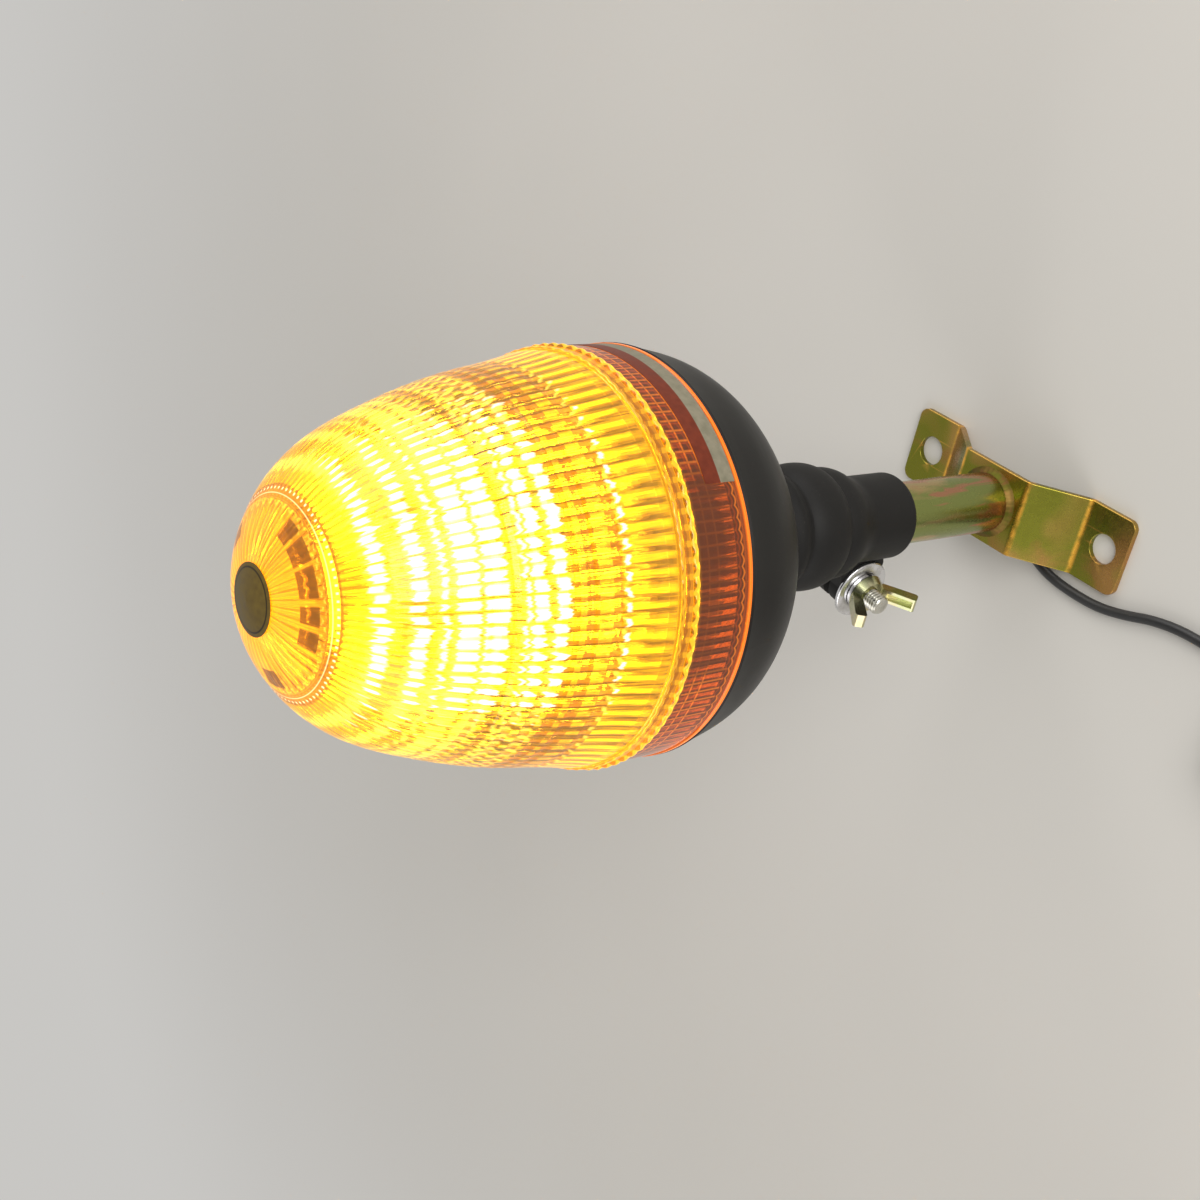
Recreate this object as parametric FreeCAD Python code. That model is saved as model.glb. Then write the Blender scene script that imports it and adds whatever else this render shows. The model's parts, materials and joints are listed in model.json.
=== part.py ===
import FreeCAD, Part
import math
import os

from FreeCAD import Vector

os.makedirs("parts", exist_ok=True)

# Amber beacon on a spigot pole with a two-hole foot bracket. All lengths are millimetres.
# +Z runs up the pole to the tip of the lens, +X runs along the bracket strip. The origin is the
# centre of the bracket's footprint, on the underside of its two flanges.

# foot bracket: one bent strip
strip_thickness = 2.5
strip_width = 32.0
crown_length = 33.5
crown_rise = 16.8
web_run = 19.2
flange_length = 21.9
bend_radius = 2.5
strip_corner = 4.0
mount_hole = 12.0
mount_spacing = 93.8

# pole: a standard 24 mm spigot tube, welded to the crown
pole_diameter = 24.0
pole_wall = 2.0
pole_top = 126.0
weld_leg = 2.2

# cable and its grommet in the crown
cord_diameter = 4.0
cord_floor_gap = 0.02
grommet_groove = 11.0
grommet_flange = 15.0
grommet_lip = 1.5
core_diameter = 1.5
core_length = 26.0
strand_diameter = 0.9
strand_length = 6.0

# cable put away in a coil beside the foot
coil_x = 150.0
coil_y = -39.0
coil_mean_radius = 22.0
coil_columns = 3
coil_layers = 2
tie_width = 3.6
tie_thickness = 1.0
tie_angle = 205.0

# centre contact in the top of the pole
insulator_length = 23.0
insulator_boss = 18.0
insulator_boss_rise = 1.5
plunger_diameter = 6.0
plunger_collar = 9.0
plunger_collar_height = 2.0
plunger_rise = 4.0
plunger_chamber = 10.0
chamber_depth = 14.0
chamber_roof = 2.0
plunger_free_rise = 2.0
spring_wire = 0.8
spring_mean = 8.0
spring_turns = 5.0

# fits
slip = 0.05
thread_slip = 0.07
guide_slip = 0.1
part_gap = 0.3

# clamp sleeve
sleeve_foot = 76.8
sleeve_wall = 4.35
sleeve_foot_round = 2.4
sleeve_taper_start = 98.0
sleeve_top = 136.0
neck_spigot_radius = 15.0
neck_spigot_height = 8.0
neck_barb = 0.8
contact_cavity = 10.3
carrier_radius = 12.0
carrier_thickness = 5.0
plate_radius = 8.0
plate_thickness = 1.0
plate_stem = 2.0
plate_tag = 4.0
earth_strip_width = 5.0
earth_strip_thickness = 0.8
earth_strip_length = 30.0
clamp_slot = 3.0
clamp_slot_length = 27.5

# clamp lug and its M8 bolt
lug_turn = -6.6
lug_reach = 26.9
lug_height = 86.2
lug_radius = 9.6
lug_half_width = 8.0
lug_top_spread = 14.0
bolt_diameter = 8.0
bolt_hole = 8.6
bolt_head_flats = 13.0
bolt_head_height = 5.3
bolt_pocket_depth = 3.0
bolt_tip = 21.1
flat_washer_diameter = 24.0
flat_washer_thickness = 1.6
spring_washer_diameter = 14.8
spring_washer_thickness = 2.0
washer_bore = 8.4
wing_hub_base = 15.6
wing_hub_top = 12.6
wing_hub_height = 3.4
wing_root = 8.2
wing_root_lift = 0.9
wing_length = 13.8
wing_slope = 54.0
wing_depth = 4.5
wing_width = 5.4
wing_sheet = 1.2
wing_tilt = -83.0

# rubber neck
neck_top = 160.4
neck_outer = 21.0
neck_bulge = 2.6
neck_bulges = 2
neck_flange = 20.0
neck_flange_thickness = 3.0
neck_bore = 9.0

# base dish
rim_z = 210.6
dish_rim_radius = 69.4
dish_wall = 2.5
dish_rim_depth = 4.0
rim_gap = 0.2
gasket_inner = 65.8
gasket_outer = 68.6
gasket_depth = 1.6
gasket_lift = 0.1
neck_hole = 12.0
ring_thickness = 2.5
ring_inner = 13.0
ring_outer = 29.0
ring_screw_circle = 25.0
ring_screws = 4
boss_radius = 3.6
post_radius = 4.5
post_circle = 52.0
posts = 4
standoff_radius = 3.6
standoff_circle = 34.0
standoffs = 3

# screws inside the head
screw_diameter = 3.0
screw_head = 5.8
screw_head_height = 2.0
screw_bite = 7.0

# chassis: deck and bayonet collar
collar_outer = 64.0
collar_wall = 2.4
collar_foot = -3.0
collar_top = 21.0
deck_top = 6.0
deck_thickness = 2.5
ledge_reach = 65.6
ledge_bottom = 4.6
ledge_thickness = 2.4
ledge_before = 12.0
ledge_after = 10.0
stop_width = 3.0
bayonets = 3

# lens: heights are above the rim
lens_rim_radius = 69.3
lens_rim_height = 1.4
band_radius = 68.9
band_top = 21.4
bead_height = 2.0
bead_swell = 0.9
second_bead_bottom = 26.2
second_bead_height = 1.6
second_bead_swell = 0.5
waist_radius = 67.9
dome_foot = 30.3
lens_height = 134.5
lens_wall = 2.9
flute_depth = 1.1
dome_flutes = 88
flute_top = 122.4
band_flutes = 116
band_flute_depth = 0.9
band_flute_bottom = 4.6
groove_depth = 0.5
groove_width = 1.7
lens_lug_inner = 64.3
lens_lug_bottom = 1.2
lens_lug_height = 3.1
lens_lug_angle = 16.0

# bare label strip on the band and bare disc on the tip
label_bottom = 1.6
label_top = 13.2
label_start = 45.0
label_sweep = 76.0
label_thickness = 0.15
tip_disc_radius = 11.1
tip_disc_thickness = 0.2

# light engine
board_radius = 44.0
board_thickness = 1.6
board_z = 190.0
tower_sides = 8
tower_apothem = 20.5
tower_bore = 17.5
tower_foot_flange = 3.0
tower_foot_reach = 30.0
tower_height = 84.0
tower_screws = 4
tower_screw_circle = 26.5
strip_board_width = 14.5
strip_board_thickness = 1.2
strip_board_margin = 3.0
chip_size = 5.0
chip_thickness = 1.4
chip_rows = 8
top_board_radius = 19.4
top_chips = 6
top_chip_circle = 11.5
cap_ring_height = 5.0
cap_ring_wall = 1.6
wire_diameter = 1.4
wire_spread = 3.0
wire_hole_radius = 5.0

parts = {}


def ring(inner, outer, bottom, top):
    """Flat-ended ring about the pole axis; inner 0 gives a disc."""
    body = Part.makeCylinder(outer, top - bottom, Vector(0, 0, bottom))
    if inner > 0:
        body = body.cut(Part.makeCylinder(inner, top - bottom, Vector(0, 0, bottom)))
    return body


def revolve(*pieces):
    """Solid turned about the pole axis from (radius, height) pieces: two points a line, more a spline."""
    edges = []
    for piece in pieces:
        ends = [Vector(radius, 0, height) for radius, height in piece]
        if len(ends) == 2:
            edges.append(Part.LineSegment(*ends).toShape())
        else:
            curve = Part.BSplineCurve()
            curve.interpolate(ends)
            edges.append(curve.toShape())
    face = Part.Face(Part.Wire(edges))
    return face.revolve(Vector(), Vector(0, 0, 1), 360)


def polygon_ring(*points):
    """Solid turned about the pole axis from a closed run of straight (radius, height) sides."""
    return revolve(*zip(points, points[1:] + points[:1]))


def rounded_path(points, radii, closed):
    """Wire of straight runs with a tangent arc of the given radius at each corner; 0 keeps it sharp."""
    count = len(points)
    starts, ends, arcs = list(points), list(points), [None] * count
    for i in range(count) if closed else range(1, count - 1):
        back = (points[i - 1] - points[i]).normalize()
        ahead = (points[(i + 1) % count] - points[i]).normalize()
        turn = math.pi - back.getAngle(ahead)
        if radii[i] > 0 and turn > 1e-6:
            trim = radii[i] * math.tan(turn / 2)
            starts[i] = points[i] + back * trim
            ends[i] = points[i] + ahead * trim
            inward = (back + ahead).normalize()
            middle = points[i] + inward * (radii[i] / math.cos(turn / 2) - radii[i])
            arcs[i] = Part.Arc(starts[i], middle, ends[i]).toShape()
    edges = []
    for i in range(count if closed else count - 1):
        if arcs[i]:
            edges.append(arcs[i])
        edges.append(Part.LineSegment(ends[i], starts[(i + 1) % count]).toShape())
    return Part.Wire(edges)


def plate(points, radii, push):
    """Flat solid from a rounded outline, pushed along a vector."""
    return Part.Face(rounded_path(points, radii, True)).extrude(push)


def round_tube(wire, diameter):
    """Round bar along a wire of runs and tangent arcs."""
    start = wire.Edges[0]
    direction = start.tangentAt(start.FirstParameter)
    section = Part.Wire(Part.makeCircle(diameter / 2, start.valueAt(start.FirstParameter), direction))
    return wire.makePipeShell([section], True, False)


def around(shape, count, first=0.0):
    """Copies of a shape, evenly spaced about the pole axis."""
    copies = []
    for i in range(count):
        copy = shape.copy()
        copy.rotate(Vector(), Vector(0, 0, 1), first + 360.0 * i / count)
        copies.append(copy)
    return copies


def turned(shape, angle):
    """The shape turned about the pole axis."""
    copy = shape.copy()
    copy.rotate(Vector(), Vector(0, 0, 1), angle)
    return copy


def sector(shape, first, last):
    """The part of a ring between two angles about the pole axis."""
    box = shape.BoundBox
    reach = box.DiagonalLength
    bottom = Vector(0, 0, box.ZMin - 1)
    wedge = Part.makeCylinder(reach, box.ZLength + 2, bottom, Vector(0, 0, 1), last - first)
    return shape.common(turned(wedge, first))


def screw(x, y, seat, length=screw_bite):
    """Pan-head screw standing head up on a seat height."""
    shank = Part.makeCylinder(screw_diameter / 2, length, Vector(x, y, seat - length))
    head = Part.makeCylinder(screw_head / 2, screw_head_height, Vector(x, y, seat))
    crown = [edge for edge in head.Edges if edge.BoundBox.ZMin > seat + screw_head_height - 0.01]
    return head.makeFillet(screw_head_height * 0.45, crown[:1]).fuse(shank)


def ring_points(count, radius, first=0.0):
    """Centres evenly spaced on a circle about the pole axis."""
    angles = [math.radians(first + 360.0 * i / count) for i in range(count)]
    return [(radius * math.cos(a), radius * math.sin(a)) for a in angles]


# ---------------------------------------------------------------- foot bracket, pole and weld
web_slope = math.atan2(crown_rise, web_run)
miter = strip_thickness * math.tan(web_slope / 2)
crown_top = crown_rise + strip_thickness
crown_half = crown_length / 2
foot_half = crown_half + web_run + flange_length
knee_half = crown_half + web_run


def foot_bracket():
    """Hat-section strip with a hole in each flange and a cable hole in the crown."""
    top = [(foot_half, strip_thickness), (knee_half, strip_thickness), (crown_half, crown_top)]
    under = [(crown_half - miter, crown_rise), (knee_half - miter, 0), (foot_half, 0)]
    tight, wide = bend_radius, bend_radius + strip_thickness
    right = top + [(-x, z) for x, z in reversed(top)]
    left = [(-x, z) for x, z in reversed(under)] + under
    outline = [Vector(x, -strip_width / 2, z) for x, z in right + left]
    radii = [0, tight, wide, wide, tight, 0, 0, wide, tight, tight, wide, 0]
    strip = plate(outline, radii, Vector(0, strip_width, 0))
    ends = [
        edge
        for edge in strip.Edges
        if abs(edge.BoundBox.XMin) > foot_half - 0.01
        and edge.BoundBox.XLength < 0.01
        and edge.BoundBox.YLength < 0.01
    ]
    strip = strip.makeFillet(strip_corner, ends)
    for side in (-1, 1):
        spot = Vector(side * mount_spacing / 2, 0, -1)
        strip = strip.cut(Part.makeCylinder(mount_hole / 2, strip_thickness + 2, spot))
    return strip.cut(ring(0, grommet_groove / 2, 0, crown_top + 1))


pole_radius = pole_diameter / 2
pole_bore = pole_radius - pole_wall
parts["bracket"] = foot_bracket()
parts["pole_tube"] = ring(pole_bore, pole_radius, crown_top, pole_top)
weld_waist = (pole_radius + weld_leg * 0.36, crown_top + weld_leg * 0.36)
parts["weld_bead"] = revolve(
    [(pole_radius, crown_top), (pole_radius + weld_leg, crown_top)],
    [(pole_radius + weld_leg, crown_top), weld_waist, (pole_radius, crown_top + weld_leg)],
    [(pole_radius, crown_top + weld_leg), (pole_radius, crown_top)],
)

# ---------------------------------------------------------------- grommet and cable
cord_radius = cord_diameter / 2
grommet_bottom = crown_rise - grommet_lip
grommet_top = crown_top + grommet_lip
grommet = ring(cord_radius, grommet_groove / 2, grommet_bottom, grommet_top)
for low in (grommet_bottom, crown_top):
    grommet = grommet.fuse(ring(cord_radius, grommet_flange / 2, low, low + grommet_lip))
parts["cable_grommet"] = grommet.removeSplitter()

insulator_top = pole_top
insulator_bottom = insulator_top - insulator_length
parts["pole_lead"] = ring(0, cord_radius, grommet_bottom, insulator_bottom)

cord_z = cord_radius + cord_floor_gap
coil_entry_radius = coil_mean_radius + cord_diameter
cord_route = [
    Vector(0.0, 0.0, grommet_bottom),
    Vector(0.0, 0.0, 10.6),
    Vector(1.9, -2.2, 5.6),
    Vector(5.3, -6.3, 2.6),
    Vector(10.0, -11.9, cord_z),
    Vector(17.5, -17.6, cord_z),
    Vector(27.5, -21.4, cord_z),
    Vector(40.5, -22.6, cord_z),
    Vector(54.0, -22.2, cord_z),
    Vector(66.0, -19.2, cord_z),
    Vector(78.0, -14.9, cord_z),
    Vector(90.5, -12.7, cord_z),
    Vector(104.5, -12.6, cord_z),
    Vector(119.0, -13.5, cord_z),
    Vector(133.0, coil_y + coil_entry_radius - 1.0, cord_z),
    Vector(coil_x, coil_y + coil_entry_radius, cord_z),
]


def cord_radii(route):
    """Bend radius at each point of a cord: 0.45 of its shorter run over the tangent of half the turn."""
    radii = [0.0] * len(route)
    for i in range(1, len(route) - 1):
        back, ahead = route[i] - route[i - 1], route[i + 1] - route[i]
        half_turn = back.getAngle(ahead) / 2
        radii[i] = 0.45 * min(back.Length, ahead.Length) / math.tan(half_turn)
    return radii


def cord_tube(name, route, diameter):
    """Cable along its route; its radii and its volume against section times length are printed."""
    radii = cord_radii(route)
    path = rounded_path(route, radii, False)
    tube = round_tube(path, diameter)
    share = tube.Volume / (math.pi * diameter**2 / 4 * path.Length)
    print(name, "radii", [round(radius, 1) for radius in radii[1:-1]])
    print(name, "length", round(path.Length, 2), "volume over section times length", round(share, 5))
    return tube


parts["supply_cord"] = cord_tube("supply_cord", cord_route, cord_diameter)

coil_outer = coil_mean_radius + coil_columns * cord_diameter / 2
coil_inner = coil_mean_radius - coil_columns * cord_diameter / 2
coil_top = coil_layers * cord_diameter
coil_center = Vector(coil_x, coil_y, 0)
coil = ring(coil_inner, coil_outer, 0, coil_top)
coil = coil.makeFillet(cord_radius * 0.9, coil.Edges)
coil.translate(coil_center)
parts["cord_coil"] = coil

# the tail leaves the outer turn of the coil and ends in two stripped cores
tail_route = [
    coil_center + Vector(18.5, 19.5, cord_z),
    coil_center + Vector(25.5, 15.0, cord_z),
    coil_center + Vector(30.0, 7.0, cord_z),
    coil_center + Vector(31.0, -3.0, cord_z),
    coil_center + Vector(28.5, -12.5, cord_z),
]
parts["cord_tail"] = cord_tube("cord_tail", tail_route, cord_diameter)


def core_bars(diameter, skip, length):
    """Two bars side by side, straight out of the cable's end, beginning a little way along."""
    heading = (tail_route[-1] - tail_route[-2]).normalize()
    across = Vector(-heading.y, heading.x, 0)
    bars = []
    for side in (-1, 1):
        start = tail_route[-1] + across * (side * core_diameter * 0.55) + heading * skip
        bars.append(Part.makeCylinder(diameter / 2, length, start, heading))
    return Part.makeCompound(bars)


parts["core_wires"] = core_bars(core_diameter, 0, core_length)
parts["core_ends"] = core_bars(strand_diameter, core_length, strand_length)

tie_wrap = plate(
    [
        Vector(coil_inner - tie_thickness, 0, 0),
        Vector(coil_outer + tie_thickness, 0, 0),
        Vector(coil_outer + tie_thickness, 0, coil_top + tie_thickness),
        Vector(coil_inner - tie_thickness, 0, coil_top + tie_thickness),
    ],
    [cord_radius] * 4,
    Vector(0, tie_width, 0),
)
tie_window = plate(
    [
        Vector(coil_inner, 0, tie_thickness),
        Vector(coil_outer, 0, tie_thickness),
        Vector(coil_outer, 0, coil_top),
        Vector(coil_inner, 0, coil_top),
    ],
    [cord_radius * 0.9] * 4,
    Vector(0, tie_width, 0),
)
coil_tie = turned(tie_wrap.cut(tie_window), tie_angle)
coil_tie.translate(coil_center)
parts["coil_tie"] = coil_tie

# ---------------------------------------------------------------- sprung centre contact
chamber_top = insulator_top - chamber_roof
chamber_bottom = chamber_top - chamber_depth
plunger_top = pole_top + plunger_rise
collar_top_z = chamber_top - plunger_free_rise
collar_low_z = collar_top_z - plunger_collar_height

insulator = ring(0, pole_bore, insulator_bottom, insulator_top)
insulator = insulator.fuse(ring(0, insulator_boss / 2, insulator_top, insulator_top + insulator_boss_rise))
insulator = insulator.cut(ring(0, plunger_chamber / 2, chamber_bottom, chamber_top))
guide_radius = plunger_diameter / 2 + guide_slip
insulator = insulator.cut(ring(0, guide_radius, chamber_bottom, plunger_top))
parts["contact_insulator"] = insulator.removeSplitter()

plunger = ring(0, plunger_diameter / 2, collar_low_z, plunger_top)
tip_edge = [edge for edge in plunger.Edges if edge.BoundBox.ZMin > plunger_top - 0.01]
plunger = plunger.makeFillet(plunger_diameter * 0.3, tip_edge[:1])
collar = ring(0, plunger_collar / 2, collar_low_z, collar_top_z)
parts["contact_plunger"] = plunger.fuse(collar).removeSplitter()


def contact_spring():
    """Round-wire compression spring between the chamber floor and the plunger's collar."""
    travel = collar_low_z - chamber_bottom - spring_wire
    helix = Part.makeHelix(travel / spring_turns, travel, spring_mean / 2)
    helix.translate(Vector(0, 0, chamber_bottom + spring_wire / 2))
    return round_tube(helix, spring_wire)


parts["contact_spring"] = contact_spring()

# ---------------------------------------------------------------- clamp sleeve with its lug
sleeve_bore = pole_radius + slip
sleeve_outer = pole_radius + sleeve_wall
shoulder = [
    (sleeve_outer, sleeve_taper_start),
    (sleeve_outer + 1.7, sleeve_taper_start + 6),
    (sleeve_outer + 4.0, sleeve_taper_start + 11),
    (sleeve_outer + 4.6, sleeve_taper_start + 15),
    (sleeve_outer + 4.1, sleeve_taper_start + 18.5),
]
bulge = [
    shoulder[-1],
    (sleeve_outer + 6.3, shoulder[-1][1] + 3.5),
    (sleeve_outer + 7.1, (shoulder[-1][1] + sleeve_top) / 2 - 0.6),
    (sleeve_outer + 6.2, sleeve_top - 4.5),
    (sleeve_outer + 3.0, sleeve_top),
]
carrier_bottom = plunger_top + plate_thickness
carrier_top = carrier_bottom + carrier_thickness
spigot_top = sleeve_top + neck_spigot_height
foot_lip = sleeve_outer - sleeve_foot_round
foot_arc = [
    (foot_lip + sleeve_foot_round * math.sin(a), sleeve_foot + sleeve_foot_round * (1 - math.cos(a)))
    for a in (0, math.pi / 6, math.pi / 3, math.pi / 2)
]
barb_z = spigot_top - 2.5
sleeve = revolve(
    [(sleeve_bore, sleeve_foot), foot_arc[0]],
    foot_arc,
    [foot_arc[-1], shoulder[0]],
    shoulder,
    bulge,
    [bulge[-1], (neck_spigot_radius, sleeve_top)],
    [(neck_spigot_radius, sleeve_top), (neck_spigot_radius, barb_z)],
    [(neck_spigot_radius, barb_z), (neck_spigot_radius + neck_barb, barb_z)],
    [(neck_spigot_radius + neck_barb, barb_z), (neck_spigot_radius - neck_barb, spigot_top)],
    [(neck_spigot_radius - neck_barb, spigot_top), (carrier_radius, spigot_top)],
    [(carrier_radius, spigot_top), (carrier_radius, carrier_bottom)],
    [(carrier_radius, carrier_bottom), (contact_cavity, carrier_bottom)],
    [(contact_cavity, carrier_bottom), (contact_cavity, pole_top)],
    [(contact_cavity, pole_top), (sleeve_bore, pole_top)],
    [(sleeve_bore, pole_top), (sleeve_bore, sleeve_foot)],
)


def clamp_lug():
    """Pear-shaped pair of ears beside the sleeve, in the lug's own frame: bolt along +X, reach along -Y."""
    start = Vector(-lug_half_width, 0, 0)
    eye_start = Vector(-lug_half_width, -lug_reach, lug_height)
    eye = Part.makeCylinder(lug_radius, 2 * lug_half_width, eye_start, Vector(1, 0, 0))
    inner_y = -(sleeve_outer - sleeve_wall * 0.6)
    low_z = sleeve_foot + sleeve_foot_round
    root = [
        start + Vector(0, inner_y, low_z),
        start + Vector(0, -sleeve_outer, low_z - 1.2),
        start + Vector(0, -lug_reach, lug_height - lug_radius),
        start + Vector(0, -lug_reach, lug_height + lug_radius),
        start + Vector(0, -sleeve_outer - 1.5, lug_height + lug_top_spread),
        start + Vector(0, inner_y, lug_height + lug_top_spread + 2.5),
    ]
    body = plate(root, [0, 3, 0, 0, 4, 0], Vector(2 * lug_half_width, 0, 0)).fuse(eye)
    return body.cut(ring(0, sleeve_bore, sleeve_foot - 1, sleeve_top)).removeSplitter()


def hex_bar(flats, length, x, y, z):
    """Hexagonal bar lying along +X."""
    corner = flats / math.sqrt(3)
    points = [
        Vector(x, y + corner * math.cos(math.radians(60 * i)), z + corner * math.sin(math.radians(60 * i)))
        for i in range(6)
    ]
    return plate(points, [0] * 6, Vector(length, 0, 0))


sleeve = sleeve.fuse(clamp_lug())
bolt_line = Vector(0, -lug_reach, lug_height)
along = Vector(1, 0, 0)
slot_depth = 2 * lug_reach
slot_corner = Vector(-clamp_slot / 2, 1 - sleeve_bore - slot_depth, sleeve_foot - 1)
sleeve = sleeve.cut(Part.makeBox(clamp_slot, slot_depth, clamp_slot_length + 1, slot_corner))
hole_start = bolt_line - along * 2 * lug_half_width
sleeve = sleeve.cut(Part.makeCylinder(bolt_hole / 2, 4 * lug_half_width, hole_start, along))
pocket_floor = -lug_half_width + bolt_pocket_depth
pocket_flats = bolt_head_flats + 2 * guide_slip
sleeve = sleeve.cut(hex_bar(pocket_flats, -bolt_pocket_depth - 1, pocket_floor, -lug_reach, lug_height))
strip_bottom = sleeve_foot + 10
strip_cut = sector(
    ring(sleeve_bore, sleeve_bore + earth_strip_thickness, strip_bottom, strip_bottom + earth_strip_length),
    90 - math.degrees(earth_strip_width / 2 / sleeve_bore),
    90 + math.degrees(earth_strip_width / 2 / sleeve_bore),
)
sleeve = sleeve.cut(strip_cut)
parts["clamp_sleeve"] = turned(sleeve.removeSplitter(), lug_turn)
parts["earth_strip"] = turned(strip_cut, lug_turn)

# ---------------------------------------------------------------- clamp bolt, washers and wing nut
bolt_radius = bolt_diameter / 2 - thread_slip / 2
bolt_length = bolt_tip - pocket_floor
bolt = Part.makeCylinder(bolt_radius, bolt_length, bolt_line + along * pocket_floor, along)
tip = [edge for edge in bolt.Edges if edge.BoundBox.XMin > bolt_tip - 0.01]
bolt = bolt.makeChamfer(0.8, tip[:1])
bolt = bolt.fuse(hex_bar(bolt_head_flats, -bolt_head_height, pocket_floor, -lug_reach, lug_height))
parts["clamp_bolt"] = turned(bolt.removeSplitter(), lug_turn)


def washer(outer, start, thickness):
    """Plain ring on the bolt's axis."""
    disc = Part.makeCylinder(outer / 2, thickness, bolt_line + along * start, along)
    hole = Part.makeCylinder(washer_bore / 2, thickness, bolt_line + along * start, along)
    return disc.cut(hole)


flat_washer_face = lug_half_width + flat_washer_thickness
nut_seat = flat_washer_face + spring_washer_thickness
parts["flat_washer"] = turned(washer(flat_washer_diameter, lug_half_width, flat_washer_thickness), lug_turn)
split = Part.makeBox(
    spring_washer_thickness, spring_washer_diameter, 0.9, bolt_line + Vector(flat_washer_face, 0, -0.45)
)
spring_washer = washer(spring_washer_diameter, flat_washer_face, spring_washer_thickness).cut(split)
parts["spring_washer"] = turned(spring_washer, lug_turn)


def wing_nut():
    """Pressed nut: a low hub and two folded wings, each a channel that opens towards the bolt."""
    hub = Part.makeCone(wing_hub_base / 2, wing_hub_top / 2, wing_hub_height, Vector(nut_seat, 0, 0), along)
    slope = math.radians(wing_slope)
    for side in (-1, 1):
        outwards = Vector(math.sin(slope), 0, side * math.cos(slope))
        inwards = Vector(math.cos(slope), 0, -side * math.sin(slope))
        root = Vector(nut_seat + wing_root_lift, -wing_width / 2, side * wing_root)
        end = root + outwards * wing_length
        hub_side = Vector(nut_seat + wing_hub_height, -wing_width / 2, side * wing_hub_top * 0.42)
        hub_foot = Vector(nut_seat, -wing_width / 2, side * wing_hub_base * 0.4)
        outline = [hub_foot, root, end, end + inwards * wing_depth, hub_side]
        wing = plate(outline, [0, 0, 1.4, 1.0, 0], Vector(0, wing_width, 0))
        floor_end = end - outwards * wing_sheet + inwards * wing_sheet + Vector(0, wing_sheet, 0)
        floor_root = floor_end - outwards * (wing_length - 3 * wing_sheet)
        channel = [floor_root, floor_end, floor_end + inwards * wing_depth, floor_root + inwards * wing_depth]
        wing = wing.cut(plate(channel, [0, 0, 0, 0], Vector(0, wing_width - 2 * wing_sheet, 0)))
        hub = hub.fuse(wing)
    bore = Part.makeCylinder(bolt_radius + thread_slip, 3 * wing_length, Vector(0, 0, 0), along)
    nut = hub.cut(bore)
    nut.rotate(Vector(), along, 90 + wing_tilt)
    nut.translate(bolt_line)
    return nut.removeSplitter()


parts["wing_nut"] = turned(wing_nut(), lug_turn)

# ---------------------------------------------------------------- contact plate and its carrier
carrier = ring(plate_stem, carrier_radius, carrier_bottom, carrier_top)
parts["contact_carrier"] = carrier
plate_disc = ring(0, plate_radius, plunger_top, carrier_bottom)
stem = ring(0, plate_stem, carrier_bottom, carrier_top)
tag = Part.makeBox(plate_stem, 0.8, plate_tag, Vector(-plate_stem / 2, -0.4, carrier_top))
parts["contact_plate"] = plate_disc.fuse([stem, tag]).removeSplitter()

# ---------------------------------------------------------------- rubber neck
flange_top = neck_top + dish_wall + neck_flange_thickness


def neck_side():
    """Wavy outside of the neck from the sleeve's top to the dish, as (radius, height) points."""
    steps = 4 * neck_bulges
    rise = neck_top - sleeve_top
    points = []
    for i in range(steps + 1):
        swell = neck_bulge * (1 - math.cos(2 * math.pi * i * neck_bulges / steps)) / 2
        points.append((neck_outer + swell, sleeve_top + rise * i / steps))
    return points


outside = neck_side()
neck_barb_radius = neck_spigot_radius + neck_barb
parts["flex_neck"] = revolve(
    outside,
    [outside[-1], (neck_hole, neck_top)],
    [(neck_hole, neck_top), (neck_hole, neck_top + dish_wall)],
    [(neck_hole, neck_top + dish_wall), (neck_flange, neck_top + dish_wall)],
    [(neck_flange, neck_top + dish_wall), (neck_flange, flange_top)],
    [(neck_flange, flange_top), (neck_bore, flange_top)],
    [(neck_bore, flange_top), (neck_bore, spigot_top + 6)],
    [(neck_bore, spigot_top + 6), (neck_barb_radius, spigot_top)],
    [(neck_barb_radius, spigot_top), (neck_barb_radius, barb_z)],
    [(neck_barb_radius, barb_z), (neck_spigot_radius, barb_z)],
    [(neck_spigot_radius, barb_z), (neck_spigot_radius, sleeve_top)],
    [(neck_spigot_radius, sleeve_top), outside[0]],
)

# ---------------------------------------------------------------- base dish
dish_top = rim_z - rim_gap
dish_side = [
    (26.0, neck_top),
    (39.5, rim_z - 45.0),
    (52.1, rim_z - 36.0),
    (60.8, rim_z - 26.0),
    (65.6, rim_z - 16.0),
    (67.6, rim_z - 8.0),
    (dish_rim_radius, dish_top - 0.8),
]


def inset(points, wall):
    """A run of (radius, height) points moved inwards by a wall thickness, square to the run."""
    moved = []
    for i, (radius, height) in enumerate(points):
        before, after = points[max(i - 1, 0)], points[min(i + 1, len(points) - 1)]
        run, rise = after[0] - before[0], after[1] - before[1]
        length = math.hypot(run, rise)
        moved.append((radius - wall * rise / length, height + wall * run / length))
    return moved


rim_shelf = dish_top - dish_rim_depth
inner_side = inset(dish_side, dish_wall)
inner_side[0] = (inner_side[0][0], neck_top + dish_wall)
inner_side[-1] = (collar_outer + part_gap, rim_shelf)
inner_side[-2] = (inner_side[-2][0], rim_shelf - 3.0)
rim_lip = (dish_rim_radius - 0.8, dish_top)
dish = revolve(
    [(neck_hole, neck_top), dish_side[0]],
    dish_side,
    [dish_side[-1], rim_lip],
    [rim_lip, (collar_outer + part_gap, dish_top)],
    [(collar_outer + part_gap, dish_top), inner_side[-1]],
    inner_side[::-1],
    [inner_side[0], (neck_hole, neck_top + dish_wall)],
    [(neck_hole, neck_top + dish_wall), (neck_hole, neck_top)],
)
gasket_seat = dish_top - gasket_depth
dish = dish.cut(ring(gasket_inner, gasket_outer, gasket_seat, dish_top + 1))
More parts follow.
